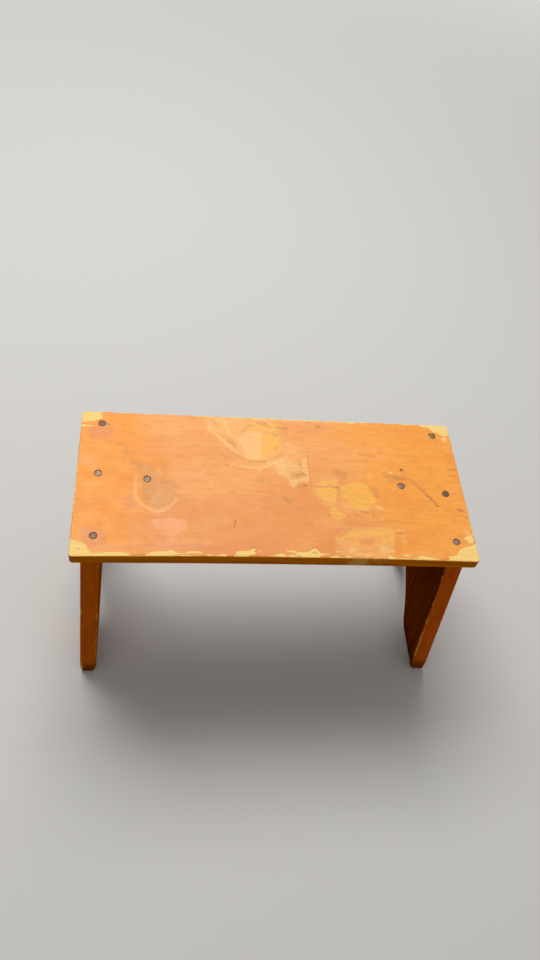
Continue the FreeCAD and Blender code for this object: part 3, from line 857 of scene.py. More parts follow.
MAUVE = [
    [(-200, 62), (-192, 70), (-182, 73), (-176, 70), (-172, 64), (-173, 57), (-178, 51), (-188, 50),
     (-196, 54)],
    [(-156, -20), (-153, -13.6), (-150.4, -20), (-149, -28), (-151, -34), (-155, -33.6), (-157.4, -27)],
    [(-196, -58), (-188, -54), (-178, -58), (-172, -68), (-176, -76), (-188, -78), (-196, -70)],
    [(-179, -79, 3), (-120, -74, 4), (-60, -76, 3), (-20, -72, 3)],
    [(74, -63), (87, -62.6), (87, -68), (80, -70), (73, -68)], [(60, -46, 3), (80, -48, 4), (96, -46, 3)]]

DULL = [
    [(-155, 28), (-148, 24), (-138, 22), (-131, 19), (-128, 12), (-120, 5), (-113, 2), (-107, -4),
     (-106.6, -12), (-109, -20), (-113, -27), (-120, -31), (-128, -32), (-134, -28.6), (-139.6, -20),
     (-141.6, -10), (-142, 0), (-143, 8), (-147.6, 16), (-152.6, 20)],
    [(-176, 48, 3), (-170, 48.6, 2.6), (-164, 46.6, 2.6), (-160, 41, 2.6), (-158, 35, 2.4),
     (-160, 28, 2.8), (-161.4, 24, 2.2)],
    [(57.4, -2, 1.4), (58.6, -8, 2), (58, -14, 2)], [(55, -53, 3.6), (60, -54, 4), (65, -52, 3)],
    [(101, -41.3, 1.4), (111.6, -41.4, 1.6)], [(90, -1.4, 1.4), (100, -2.6, 1.8)],
    [(60, -44, 1.6), (74, -45, 2.6), (88, -44, 1.6)], [(64, -36, 1.4), (78, -35, 2.0)],
    [(96, -38, 2), (99, -31, 2.4)], [(92, -44, 1.6), (103, -43, 2.0)], [(97, -2, 5), (99, -12, 4)],
    [(9, 12), (14, 16.4), (20, 17.4), (26, 15.6), (26.4, 10), (20, 8.6), (12, 7.8)],
    [(-60, 61, 2), (-53, 57, 5), (-47, 50, 4), (-46, 46, 2)],
    [(-48, 38.6, 2.6), (-42, 34, 3.4), (-36, 31, 3.2), (-30, 29, 3.0), (-22, 28, 3.4), (-16.6, 28.6, 2.6)],
    [(-69, 77), (-67, 79), (-64, 76), (-66, 74)], [(-20, 80.6, 2), (-13, 80, 4), (-9, 77, 2.4)],
    [(-39, 64, 2.4), (-36, 72, 2.6), (-30, 77, 2.2)], [(-4, 66, 3.4), (-1, 64, 2)],
    [(-4, 46, 3.6), (-1.6, 50, 2)], [(-9, 31, 2.4), (-3, 34, 4), (0, 38, 2)],
    [(3, 42, 2.6), (3.4, 37, 2)], [(-86, 48, 4), (-91, 46, 3)], [(21, 31, 2.4), (21.6, 24, 3)],
    [(22, 43.6, 2.6), (29, 43, 2.4)], [(44, 33.4, 2.6), (50, 32.6, 2)],
    [(62, 49.6, 3.6), (68, 49.4, 2.6)], [(0, 76, 4), (8, 73, 5)], [(44, 78, 6), (52, 79, 5)],
    [(60, 18, 9), (66, 13, 9)], [(-66, 43, 3), (-66, 40, 3)], [(0, -18, 6), (8, -19, 5)],
    [(112, 16, 6), (124, 12, 8), (132, 12, 6)], [(134, -43, 2), (114, -42, 2)],
    [(134, 14, 2), (144, 5, 3), (152, -6, 3.4), (160, -17, 3), (163, -21, 2)],
    [(-122, 23, 1.6), (-118.6, 15, 2.4), (-118.4, 7, 1.8)], [(-47, 31, 2), (-60, 34, 3)],
    [(104, 40, 2), (88, 42, 2.6)], [(-78, -40, 2), (-64, -41, 2.6)], [(30, -28, 2), (14, -30, 2.4)],
    [(-30, 4, 2), (-12, 3, 2.6)]]

DARK = [
    [(-59, 23.6, 1.4), (-54, 23.4, 1.8)], [(-24, 27.8, 1.4), (-16.4, 28.4, 2.2)],
    [(-13.6, 79.6, 2), (-12.6, 78.4, 2)], [(-8.4, 75.4, 1.8), (-7.6, 74.4, 1.8)],
    [(-30, 76.6, 1.4), (-25, 77.4, 1.4)], [(21, 16.6, 1.6), (24.6, 13, 2.6)],
    [(15.6, 12.4, 1.6), (18, 13, 2)], [(22, 1.6, 2.6), (25, -1.4, 2.2)],
    [(14, -1.4, 1.2), (19, -1.6, 1.6)], [(-199, -77.6, 1.2), (-196, -79.4, 1.8)],
    [(130.4, 23.6, 4), (131.2, 23.4, 4)], [(184, -26, 3.2), (189.6, -27.4, 3)],
    [(67, -27.6, 0.8), (76, -29.6, 1), (82, -30.8, 1.4), (86.6, -31.8, 1.8)],
    [(44, 79, 2.4), (46, 80, 2.4)], [(14, -1, 1.6), (21, -1.6, 1.8)], [(92, -31, 1.2), (91.4, -37.6, 2)],
    [(56.6, -51.8, 1.2), (59, -51.8, 1.6)], [(-34.6, -75.4, 1.6), (-31.6, -75.4, 1)],
    [(23, -81, 1.6), (27, -80, 2.2), (28.6, -82, 1.2)], [(-148, -85.4, 1.6), (-135, -85.2, 1.4)],
    [(153, -86.2, 1.6), (160, -85.4, 2)], [(-180, 71.6, 2), (-176.6, 70.6, 1.6)],
    [(114, -56, 1.6), (118.6, -55, 2.4)], [(176, 66.6, 2), (178, 65, 2)],
    [(132, 4, 2.4), (134, 3.4, 1.4)], [(120, 14.6, 1.6), (130, 11, 2)]]

# Pinker patches of varnish. In part they are painted sheen: a reflection of light painted into the colour.
PINK_AND_SHEEN = [
    [(-131, -46), (-122, -43.4), (-110, -43.8), (-98, -46), (-95.6, -50), (-100, -57), (-111, -64.4),
     (-122, -60), (-128, -54)],
    [(8, 84, 5), (30, 82, 4)]]

SCUFF = [
    [(64, -84), (72, -83), (79, -84), (80, -92), (77, -99), (66, -99), (62, -92)],
    [(82, -86, 3), (90, -88, 5), (97, -86, 3)]]

# Where each scratch starts and ends, its width and how dark it is.
SCRATCHES = [
    ((30, 40), (30.4, -1), 0.7, 0.35), ((30, -1), (58, -1.3), 0.7, 0.5),
    ((51, -1.4), (58.4, -1.8), 0.9, 0.6), ((58, -1), (58.4, -5), 0.8, 0.4),
    ((-49.6, -45), (-50.8, -53), 1.0, 0.75), ((132, 15), (146, 2), 1.0, 0.2),
    ((147, 0), (153, -7), 0.9, 0.5), ((152.6, -9), (157, -11.4), 1.3, 0.8),
    ((155, -12), (160.6, -19), 1.1, 0.6), ((160, -19.6), (163, -22), 1.5, 0.75),
    ((183, 25), (193, 27.4), 1.1, 0.55), ((180, 17), (191, 18.2), 0.9, 0.45),
    ((186, 10), (192, 9.4), 0.8, 0.35), ((178, -7), (190, -6.2), 0.8, 0.35),
    ((183, -31.4), (192, -36), 1.0, 0.4), ((184, 46), (192, 46.6), 0.8, 0.4),
    ((2, -18), (7, -21.6), 1.0, 0.35), ((-28, -8.6), (-20, -9.6), 1.0, 0.4),
    ((150, -28), (160, -27.8), 0.8, 0.35), ((130.2, 23.5), (131.4, 23.4), 2.4, 1.0)]

MARKS = {"bare": BARE, "haze_and_sheen": HAZE_AND_SHEEN, "mauve": MAUVE, "thin": THIN, "yellow": YELLOW, "dull": DULL,
         "dark": DARK, "pink_and_sheen": PINK_AND_SHEEN, "scuff": SCUFF}
print(sum(len(shapes) for shapes in MARKS.values()), "marks and", len(SCRATCHES), "scratches on the seat")

# %% The seat's finish
VARNISH_LEFT = colour(251, 160, 60)
VARNISH_RIGHT = colour(255, 169, 74)
VARNISH_FRONT = colour(238, 151, 80)
VARNISH_BACK = colour(250, 172, 97)
VARNISH_DEEP = colour(228, 134, 56)
VARNISH_PALE = colour(254, 178, 104)
EDGE_VARNISH = colour(246, 142, 2)
EDGE_VARNISH_DEEP = colour(212, 112, 1)
EDGE_GRAIN = colour(186, 84, 0)
BARE_PALE = colour(254, 216, 130)
BARE_STREAK = colour(246, 192, 106)
# Bare wood over the arris, painted more orange to offset the shade on the rounded edge.
BARE_ARRIS_AGAINST_SHADE = colour(255, 196, 96)
BARE_STAIN = colour(206, 146, 84)
LIP_STAIN = colour(206, 116, 50)
DIRT = colour(112, 66, 38)
TREE_MIDDLE = (30.0, 22.0, 205.0)
SEAT_WAVINESS = 14.0
LEFT_END = (-165.0, -105.0)
RIGHT_END = (40.0, 120.0)
FRONT_TO_BACK = (-70.0, 70.0)
TRODDEN = (-60.0, 60.0)
NAIL_GRIME = (3.5, 4.9)
FILM_THICKNESS = 0.1 * MM
PORE_DEPTH = 0.07 * MM
EDGE_GRAIN_SCALES = (0.12, 0.42, 0.42)
SCUFF_GRAIN_SCALES = (0.25, 0.5, 0.3)
PATCH_SCALES = (0.11, 0.34, 0.34)
PATCH_STEP = 37.0
# Each mark's colour, how strongly it covers, how far its edge is broken up, and how soft that edge is.
MARK_FINISH = {
    # Hazed varnish, and in part painted sheen.
    "haze_and_sheen": (colour(254, 194, 116), 0.5, 6.0, 4.5),
    "mauve": (colour(228, 144, 90), 0.7, 4.0, 2.6),
    # Pinker varnish, and in part painted sheen.
    "pink_and_sheen": (colour(254, 174, 120), 0.7, 2.0, 1.4),
    "thin": (colour(254, 202, 128), 0.7, 3.6, 1.5),
    "yellow": (colour(254, 188, 80), 0.9, 3.2, 1.8),
    "dull": (colour(212, 146, 80), 0.66, 4.0, 2.0),
    "dark": (colour(176, 108, 62), 0.7, 2.0, 1.2),
    "scuff": (colour(255, 190, 98), 0.4, 8.0, 4.0)}


def ragged(w, place, mark, breakup, softness, grain=EDGE_GRAIN_SCALES):
    """1 inside a mark and 0 outside. Noise that is drawn out along the grain moves its edge."""
    shift = w.math("SUBTRACT", w.noise(w.stretched(place, grain), 1.0, 4.0, 0.65), 0.5)
    return w.smooth(w.math("MULTIPLY_ADD", shift, breakup * 2, w.attribute(mark)), -softness, softness)


def scratch(w, place, start, end, width):
    """1 on a straight scratch in the seat's plane, and 0 off it."""
    run = Vector((end[0] - start[0], end[1] - start[1], 0))
    offset = w.vector("MULTIPLY", w.vector("SUBTRACT", place, (*start, 0)), (1, 1, 0))
    share = w.math("DIVIDE", w.vector("DOT_PRODUCT", offset, run), run.length_squared, clamp=True)
    gap = w.vector("LENGTH", w.vector("SUBTRACT", offset, w.vector("SCALE", run, share)))
    return w.opposite(w.smooth(gap, width * 0.2, width * 0.75))


def new_finish(name):
    """A new material, the wiring of its tree, and its shader."""
    material = bpy.data.materials.new(name)
    material.use_nodes = True
    return material, Wiring(material.node_tree), material.node_tree.nodes["Principled BSDF"]


def bump(w, height, distance, under=None):
    """The way a surface faces where height, from 0 to 1, lifts it by up to distance. under is another
    such result that this one is laid over."""
    made = w.node("ShaderNodeBump", {"Height": height, "Distance": distance})
    made.inputs["Strength"].default_value = 1.0
    if under is not None:
        w.put(made.inputs["Normal"], under)
    return made.outputs[0]


def varnish_tone(w, place, fine, late):
    """The varnish where nothing has marked it: rubbed paler in the middle, and palest at the back."""
    parts = w.parts(place)
    swing = w.math("MULTIPLY_ADD", w.noise(place, 0.012, 2.0), 100.0, -50.0)
    along = w.math("ADD", parts["X"], swing)
    across = w.math("SUBTRACT", parts["Y"], swing)
    tone = w.mix(w.smooth(across, *FRONT_TO_BACK), VARNISH_FRONT, VARNISH_BACK)
    tone = w.mix(w.smooth(along, *LEFT_END), VARNISH_LEFT, tone)
    tone = w.mix(w.smooth(along, *RIGHT_END), tone, VARNISH_RIGHT)
    cloud = w.noise(w.stretched(place, (0.014, 0.03, 0.03)), 1.0, 3.0)
    tone = w.mix(w.smooth(cloud, 0.46, 0.72, 0.5), tone, VARNISH_PALE)
    tone = w.mix(w.math("SUBTRACT", 0.3, w.smooth(cloud, 0.28, 0.5, 0.3)), tone, VARNISH_DEEP)
    tone = w.mix(w.math("MULTIPLY", late, 0.14), tone, VARNISH_DEEP)
    mottle = w.noise(w.stretched(place, (0.07, 0.16, 0.16)), 1.0, 4.0, 0.6)
    tone = w.mix(w.smooth(mottle, 0.5, 0.75, 0.45), tone, VARNISH_DEEP)
    return w.mix(w.smooth(fine, 0.52, 0.78, 0.3), tone, VARNISH_DEEP)


def marked(w, place, tone):
    """The tone with each kind of mark laid over it in turn, stronger in some patches than in others."""
    for number, (mark, (mark_colour, strength, breakup, softness)) in enumerate(MARK_FINISH.items()):
        moved = w.vector("ADD", place, (0.0, 0.0, PATCH_STEP * number))
        patches = w.noise(w.stretched(moved, PATCH_SCALES), 1.0, 4.0, 0.65)
        cover = w.math("ADD", w.smooth(patches, 0.34, 0.62, 0.5), 0.5)
        share = w.math("MULTIPLY", ragged(w, moved, mark, breakup, softness), cover)
        tone = w.mix(w.math("MULTIPLY", share, strength), tone, mark_colour)
    return tone


def dirt_in_pores(w, place, trodden):
    """How much dirt lies in the fibres, in specks and in the scratches."""
    dashes = w.smooth(w.math("ADD", fibres(w, place, 6.0, 0.8, 1.0), trodden), 0.68, 0.8)
    specks = w.smooth(w.noise(place, 0.7, 1.0), 0.71, 0.78)
    dirt = w.math("MULTIPLY", w.math("MAXIMUM", dashes, specks), 0.28)
    for start, end, width, depth in SCRATCHES:
        dirt = w.math("MAXIMUM", dirt, w.math("MULTIPLY", scratch(w, place, start, end, width), depth))
    return dirt


def edged(w, place, late, tone):
    """The tone with the deeper varnish of the plank's edge, and the scuff on its front."""
    wall = w.attribute("wall")
    streaks = w.smooth(fibres(w, place, 60.0, 1.6), 0.35, 0.65, 0.7)
    edge = w.mix(streaks, EDGE_VARNISH, EDGE_VARNISH_DEEP)
    edge = w.mix(w.math("MULTIPLY", late, 0.35), edge, EDGE_GRAIN)
    tone = w.mix(w.smooth(wall, 0.0, 0.4), tone, edge)
    scuffed = w.math("MULTIPLY", ragged(w, place, "scuff", 16.0, 6.0, SCUFF_GRAIN_SCALES), 0.85)
    return w.mix(w.math("MULTIPLY", scuffed, wall), tone, MARK_FINISH["scuff"][0])


def raw_wood(w, place):
    """Wood without varnish: streaked and stained here and there. Over the arris it is painted more orange,
    to offset the shade that falls on the rounded edge.
    """
    raw = w.mix(w.smooth(fibres(w, place, 12.0, 0.8), 0.42, 0.7, 0.6), BARE_PALE, BARE_STREAK)
    raw = w.mix(w.math("MULTIPLY", ragged(w, place, "dark", 1.6, 0.8), 0.6), raw, BARE_STAIN)
    return w.mix(w.smooth(w.attribute("wall"), 0.1, 0.7, 0.8), raw, BARE_ARRIS_AGAINST_SHADE)


def seat_finish(name, specular):
    """Varnish on the seat, with its marks, its dirt and the places where it is gone."""
    material, w, shader = new_finish(name)
    place = along_grain(w, "X")
    fine = fibres(w, place, 22.0, 0.7)
    late = growth_rings(w, place, TREE_MIDDLE, SEAT_WAVINESS)
    tone = marked(w, place, varnish_tone(w, place, fine, late))
    trodden = w.smooth(w.parts(place)["X"], *TRODDEN, 0.07)
    streaked = w.smooth(w.math("ADD", fibres(w, place, 14.0, 2.6, 3.0), trodden), 0.58, 0.78, 0.28)
    tone = w.mix(streaked, tone, VARNISH_DEEP)
    dirt = dirt_in_pores(w, place, trodden)
    broken = w.smooth(w.noise(place, 0.5, 3.0, 0.7), 0.3, 0.56)
    tone = w.mix(w.math("MULTIPLY", dirt, broken), tone, DIRT)
    tone = edged(w, place, late, tone)
    lip = ragged(w, place, "bare", 2.6, 0.9)
    tone = w.mix(w.math("MULTIPLY", lip, 0.35), tone, LIP_STAIN)
    rounded_off = w.math("ADD", w.attribute("wall"), w.math("MULTIPLY", w.noise(place, 0.3, 2.0), 0.4))
    on_the_face = w.opposite(w.smooth(rounded_off, 0.55, 0.85))
    bare = w.math("MULTIPLY", w.smooth(lip, 0.5, 0.8), on_the_face)
    tone = w.mix(bare, tone, raw_wood(w, place))
    grime = w.opposite(w.smooth(w.attribute("nail"), *NAIL_GRIME))
    grime = w.math("MULTIPLY", grime, w.smooth(w.noise(place, 0.25, 2.0), 0.25, 0.5, 0.85))
    w.put(shader.inputs["Base Color"], w.mix(grime, tone, DIRT))
    gloss = w.math("ADD", w.smooth(w.noise(place, 0.06, 4.0, 0.6), 0.3, 0.7, 0.14), 0.36)
    w.put(shader.inputs["Roughness"], w.math("ADD", gloss, w.math("MULTIPLY", bare, 0.3)))
    shader.inputs["Specular IOR Level"].default_value = specular
    film = bump(w, w.opposite(bare), FILM_THICKNESS)
    pores = w.math("SUBTRACT", w.math("MULTIPLY", fine, 0.4), dirt)
    w.put(shader.inputs["Normal"], bump(w, pores, PORE_DEPTH, film))
    return material


# %% [markdown]
# ## Pine that was only wiped with varnish
#
# Nobody varnishes what nobody sees. Under the seat and on the stretcher there was one thin wipe, so the
# growth rings show more than they do on top, and the surface is dull.

# %% The finish of the hidden faces
PINE_WAVINESS = 18.0
PINE_SPECULAR = 0.2
RAISED_GRAIN = 0.15 * MM


def plain_pine(name, light, deep):
    """Pine in two tones, with little on it but its growth rings."""
    material, w, shader = new_finish(name)
    place = along_grain(w, "X")
    late = growth_rings(w, place, TREE_MIDDLE, PINE_WAVINESS)
    fine = fibres(w, place, 24.0, 0.8)
    cloud = w.noise(w.stretched(place, (0.012, 0.03, 0.03)), 1.0, 4.0, 0.6)
    tone = w.mix(w.math("MULTIPLY", late, 0.6), light, deep)
    tone = w.mix(w.smooth(fine, 0.48, 0.76, 0.5), tone, deep)
    tone = w.mix(w.smooth(cloud, 0.45, 0.75, 0.5), tone, deep)
    worn = ragged(w, place, "worn", 1.6, 0.3)
    tone = w.mix(w.math("MULTIPLY", worn, 0.7), tone, BARE_STREAK)
    w.put(shader.inputs["Base Color"], tone)
    w.put(shader.inputs["Roughness"], w.math("ADD", w.smooth(cloud, 0.3, 0.7, 0.15), 0.6))
    shader.inputs["Specular IOR Level"].default_value = PINE_SPECULAR
    w.put(shader.inputs["Normal"], bump(w, fine, RAISED_GRAIN))
    return material


# %% [markdown]
# ## The seat
#
# The seat is one plank. Its back edge is straight, but in front its ends lie 1.2 mm further forward than
# its middle. Feet have worn the front arris most where they rest, which is the middle. Both are written
# as formulas of how far a point is along the plank.

# %% Build the seat
SEAT_CORNER_RADIUS = 3.4
CROOK = 1.2
FRONT_LEAN = 1.2
SEAT_OUTLINE_SPACING = 1.2
SEAT_GRID = 1.6
UNDERSIDE_GRID = 5.0
SEAT_ARRIS = 0.8
FRONT_ARRIS_WEAR = 0.5
BACK_ARRIS_WEAR = -0.1
ARRIS_WEAR_IN_BARE_WOOD = 0.1
UPPER_ARRIS_LIMITS = (0.6, 2.0)
UNDER_ARRIS_LIMITS = (0.4, 1.2)
MEAN_HOLLOW = 0.1
HOLLOW_LENGTH, HOLLOW_WIDTH = 60, 35
LEAN_STARTS = 72
LEAN_STRIP = 12
SEAT_TOP, SEAT_EDGE, SEAT_UNDERSIDE = 0, 1, 2
ALL_WALL = 0.95
FACES_DOWN = -0.9


def seat_outline():
    """The plank's outline, and how far along it each point is, from -1 at its left end to 1."""
    half_length, half_depth = HALF_LENGTH / MM, HALF_DEPTH / MM
    middle = SEAT_MIDDLE / MM
    corners = [(middle + x * half_length, y, SEAT_CORNER_RADIUS) for x, y in (
        (-1, CROOK - half_depth), (1, CROOK - half_depth), (1, half_depth), (-1, half_depth))]
    outline = rounded_outline(corners, SEAT_OUTLINE_SPACING)
    along = (outline[:, 0] - middle) / half_length
    outline[:, 1] -= CROOK * along ** 2 * (0.5 - outline[:, 1] / (2 * half_depth))
    return outline, along


def seat_arris(outline, along):
    """The seat's upper arris is wider where feet rest, and where the varnish is gone."""
    is_front = outline[:, 1] < 0
    worn = np.where(is_front, FRONT_ARRIS_WEAR * (1 - along ** 2), BACK_ARRIS_WEAR)
    chipped = np.clip(paint(outline, BARE), 0, 1.5) * ARRIS_WEAR_IN_BARE_WOOD
    arris = SEAT_ARRIS + worn + 0.25 * uneven(outline, 1, 22) + 0.2 * uneven(outline, 2, 5) + chipped
    return np.clip(arris, *UPPER_ARRIS_LIMITS)


def seat_place(points):
    """From the plank's own millimetres to its place. Its top is hollowed by up to 0.2 mm, and its front
    leans back in the middle, where feet have worn the top of it away."""
    hollow = np.array([
        MEAN_HOLLOW + MEAN_HOLLOW * noise.noise(Vector((u / HOLLOW_LENGTH, v / HOLLOW_WIDTH, 7)))
        for u, v, _ in points])
    placed = points.copy()
    along = (points[:, 0] - SEAT_MIDDLE / MM) / (HALF_LENGTH / MM)
    near_front = np.clip(-(points[:, 1] + LEAN_STARTS) / LEAN_STRIP, 0, 1)
    placed[:, 1] += FRONT_LEAN * (1 - along ** 2) * near_front * points[:, 2] / (SEAT_THICKNESS / MM)
    placed[:, 2] += UNDERSIDE / MM - hollow * points[:, 2] / (SEAT_THICKNESS / MM)
    return placed * MM


outline, along = seat_outline()
arris = seat_arris(outline, along)
under_arris = np.clip(SEAT_ARRIS + 0.25 * uneven(outline, 3, 15), *UNDER_ARRIS_LIMITS)
under_rub = 0.1 + 0.8 * uneven(outline, 5, 8)
upper_rub = 0.8 * uneven(outline, 6, 8) - 0.5
board = Board(outline, SEAT_THICKNESS / MM, arris, under_arris, TOP_NAILS, SEAT_GRID, UNDERSIDE_GRID,
              [under_rub, upper_rub])
seat = board.finish("seat", seat_place, MARKS)
seat.data.materials.append(seat_finish("seat_varnish", specular=0.2))
seat.data.materials.append(seat_finish("seat_edge_varnish", specular=0.0))
seat.data.materials.append(plain_pine("seat_underside", colour(226, 152, 78), colour(182, 104, 42)))
wall_share = np.zeros(len(seat.data.vertices), np.float32)
seat.data.attributes["wall"].data.foreach_get("value", wall_share)
for face in seat.data.polygons:
    if wall_share[list(face.vertices)].min() > ALL_WALL:
        face.material_index = SEAT_EDGE
    elif face.normal.z < FACES_DOWN:
        face.material_index = SEAT_UNDERSIDE
    else:
        face.material_index = SEAT_TOP
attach(seat, "root")
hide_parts("seat_board")

# %% [markdown]
# ## The legs
#
# A leg is a plank on end. Seen from the side of the stool it widens towards the floor, and a pointed
# arch is cut out of its foot. The left leg leans by three degrees and the right one by six, so one
# straight outline serves both, and each is sheared over by its own lean.

# %% Build a leg
ARCH_WIDTH = 100
ARCH_HEIGHT = 70
ARCH_SHIFT = 7
ARCH_SIDE_RADIUS = 170
ARCH_STEPS = 24
FOOT_CORNER_RADIUS = 3.0
HEAD_CORNER_RADIUS = 1.8
LEG_SPACING = 1.6
LEG_GRID = 4.0
LEG_THICKNESS = 18
LEG_ARRIS = 1.0
LEG_HEAD_ARRIS = 0.5
LEG_HEAD_BAND = 4
LEG_ARRIS_LIMITS = (0.6, 1.7)
FOOT_WEAR = 0.6
FOOT_WEAR_HEIGHT = 30
FOOT_RUB_HEIGHT = 12
WHITTLED = 0.35
WHITTLED_CLEAR_OF_ENDS = 2
WHITTLED_FADE = 6
# Where the front arrises are rubbed bare, inner one first: height, reach up and down, depth.
LEG_RUB_PEAKS = {
    "left_leg": ([(125, 6, 1.5), (74, 10, 0.7), (43, 8, 0.8)], [(139, 9, 1.2), (14, 12, 2.0)]),
    "right_leg": ([(62, 34, 1.8), (115, 8, 1.0), (155, 6, 1.1)], [(30, 10, 0.5)])}


def leg_outline(half_foot, half_top, height, shift):
    """The leg from its outer side. shift moves the arch towards the back of the stool."""
    apex = Vector((0, ARCH_HEIGHT))
    side = arc(Vector((ARCH_WIDTH / 2, 0)), apex, ARCH_SIDE_RADIUS, ARCH_STEPS)[1:-1]
    left_side = [(shift - point.x, point.y, 0) for point in side]
    right_side = [(shift + point.x, point.y, 0) for point in reversed(side)]
    arch_left, arch_right = shift - ARCH_WIDTH / 2, shift + ARCH_WIDTH / 2
    corners = [(-half_foot, 0, FOOT_CORNER_RADIUS), (arch_left, 0, FOOT_CORNER_RADIUS), *left_side,
               (shift, ARCH_HEIGHT, 0), *right_side, (arch_right, 0, FOOT_CORNER_RADIUS),
               (half_foot, 0, FOOT_CORNER_RADIUS), (half_top, height, HEAD_CORNER_RADIUS),
               (-half_top, height, HEAD_CORNER_RADIUS)]
    return rounded_outline(corners, LEG_SPACING)


def leg_arris(outline, seed, height):
    """The arris is wider at the foot, and small at the head, where the seat covers it."""
    foot_wear = np.clip(1 - outline[:, 1] / FOOT_WEAR_HEIGHT, 0, 1) * FOOT_WEAR
    arris = LEG_ARRIS + foot_wear + 0.3 * uneven(outline, seed, 18) + 0.15 * uneven(outline, seed + 1, 5)
    at_the_head = outline[:, 1] > height - LEG_HEAD_BAND
    return np.where(at_the_head, LEG_HEAD_ARRIS, np.clip(arris, *LEG_ARRIS_LIMITS))


def leg_place(name, side):
    """A function that shears a straight plank over to the leg's own faces. side is -1 left, 1 right."""
    spans = LEG_SPANS[name]
    column = 0 if side > 0 else 1
    inner = [span[column][0] for span in spans]
    outer = [span[1 - column][0] for span in spans]

    def place(points):
        heights = points[:, 1] * MM
        x_inner, x_outer = np.interp(heights, LEG_LEVELS, inner), np.interp(heights, LEG_LEVELS, outer)
        share = points[:, 2] / LEG_THICKNESS
        return np.column_stack([x_inner + (x_outer - x_inner) * share, side * points[:, 0] * MM, heights])
    return place


def leg_rub(outline, seed, is_front, peaks):
    """How far an arris is rubbed bare: a little by chance, and more at peaks (height, reach, depth) in
    front."""
    foot_rub = 0.6 * np.clip(1 - outline[:, 1] / FOOT_RUB_HEIGHT, 0, 1)
    rub = -0.5 + 0.9 * uneven(outline, seed, 7) + foot_rub
    for height, reach, depth in peaks:
        rub += is_front * depth * np.clip(1.3 - np.abs(outline[:, 1] - height) / reach, 0, 1)
    return rub


def whittled(outline, seed, height):
    """The outline with its long sides and its arch cut a little unevenly, always inwards."""
    from_an_end = np.minimum(outline[:, 1], height - outline[:, 1])
    fade = np.clip((from_an_end - WHITTLED_CLEAR_OF_ENDS) / WHITTLED_FADE, 0, 1)
    cut = WHITTLED + 0.35 * uneven(outline, seed, 28) + 0.25 * uneven(outline, seed, 7)
    return outline - outward_of(outline) * (fade * np.maximum(cut, 0))[:, None]


def build_leg(name, side, seed):
    """One leg as an object. Its numbers that look random follow from the seed."""
    height = UNDERSIDE / MM
    low, high = LEG_SPANS[name][0][1], LEG_SPANS[name][2][1]
    outline = whittled(leg_outline(low[1] / MM, high[1] / MM, height, side * ARCH_SHIFT), seed, height)
    arris, back_arris = [leg_arris(outline, number, height) for number in (seed, seed + 2)]
    recesses = [(side * head.y / MM, head.z / MM) for head, facing in heads.values() if facing.x * side > 0]
    is_front = outline[:, 0] * side < 0
    rubs = [leg_rub(outline, seed + 4 + number, is_front, peaks)
            for number, peaks in enumerate(LEG_RUB_PEAKS[name])]
    board = Board(outline, LEG_THICKNESS, arris, back_arris, recesses, LEG_GRID, LEG_GRID, rubs)
    return board.finish(name + "_plank", leg_place(name, side), {})


# %% The legs' finish
FOOT_GRIME = colour(88, 38, 12)
LEG_BARE = colour(255, 172, 72)
LEG_NAIL_DIRT = colour(70, 40, 22)
LEG_NAIL_GRIME = (3.6, 5.0)
LEG_TREE_MIDDLE = (40.0, 14.0, 60.0)
LEG_WAVINESS = 6.0
LEG_PORE_DEPTH = 0.06 * MM
GRIME_RISES = 40.0
GRIME_HEIGHT = 32.0
FACES_INWARD = -0.7


def leg_finish(name, light, deep, lean, specular):
    """lean is how far the plank moves along X for each step up, so that its grain leans with it."""
    material, w, shader = new_finish(name)
    place = along_grain(w, "Z")
    parts = w.parts(place)
    upright = w.math("SUBTRACT", parts["Z"], w.math("MULTIPLY", parts["X"], lean))
    place = w.joined(parts["X"], parts["Y"], upright)
    late = growth_rings(w, place, LEG_TREE_MIDDLE, LEG_WAVINESS)
    fine = fibres(w, place, 40.0, 1.0)
    streak = fibres(w, place, 120.0, 6.0)
    tone = w.mix(w.math("MULTIPLY", late, 0.22), light, deep)
    tone = w.mix(w.smooth(streak, 0.42, 0.68, 0.6), tone, deep)
    tone = w.mix(w.smooth(fine, 0.5, 0.78, 0.22), tone, deep)
    blotch = w.noise(w.stretched(place, (0.04, 0.1, 0.1)), 1.0, 4.0, 0.6)
    tone = w.mix(w.smooth(blotch, 0.5, 0.76, 0.5), tone, deep)
    height = w.math("MULTIPLY_ADD", blotch, -GRIME_RISES, w.math("ADD", parts["X"], 15.0))
    tone = w.mix(w.math("SUBTRACT", 0.75, w.smooth(height, 0.0, GRIME_HEIGHT, 0.75)), tone, FOOT_GRIME)
    smudge = w.noise(w.stretched(place, (0.06, 0.2, 0.2)), 1.0, 3.0, 0.6)
    tone = w.mix(w.smooth(smudge, 0.62, 0.76, 0.4), tone, FOOT_GRIME)
    worn = ragged(w, place, "worn", 1.6, 0.3)
    tone = w.mix(w.math("MULTIPLY", worn, 0.85), tone, LEG_BARE)
    grime = w.opposite(w.smooth(w.attribute("nail"), *LEG_NAIL_GRIME))
    tone = w.mix(w.math("MULTIPLY", grime, 0.6), tone, LEG_NAIL_DIRT)
    w.put(shader.inputs["Base Color"], tone)
    gloss = w.math("ADD", w.smooth(w.noise(place, 0.05, 4.0, 0.6), 0.3, 0.7, 0.16), 0.38)
    w.put(shader.inputs["Roughness"], w.math("ADD", gloss, w.math("MULTIPLY", worn, 0.25)))
    shader.inputs["Specular IOR Level"].default_value = specular
    film = bump(w, w.opposite(worn), FILM_THICKNESS)
    w.put(shader.inputs["Normal"], bump(w, fine, LEG_PORE_DEPTH, film))
    return material


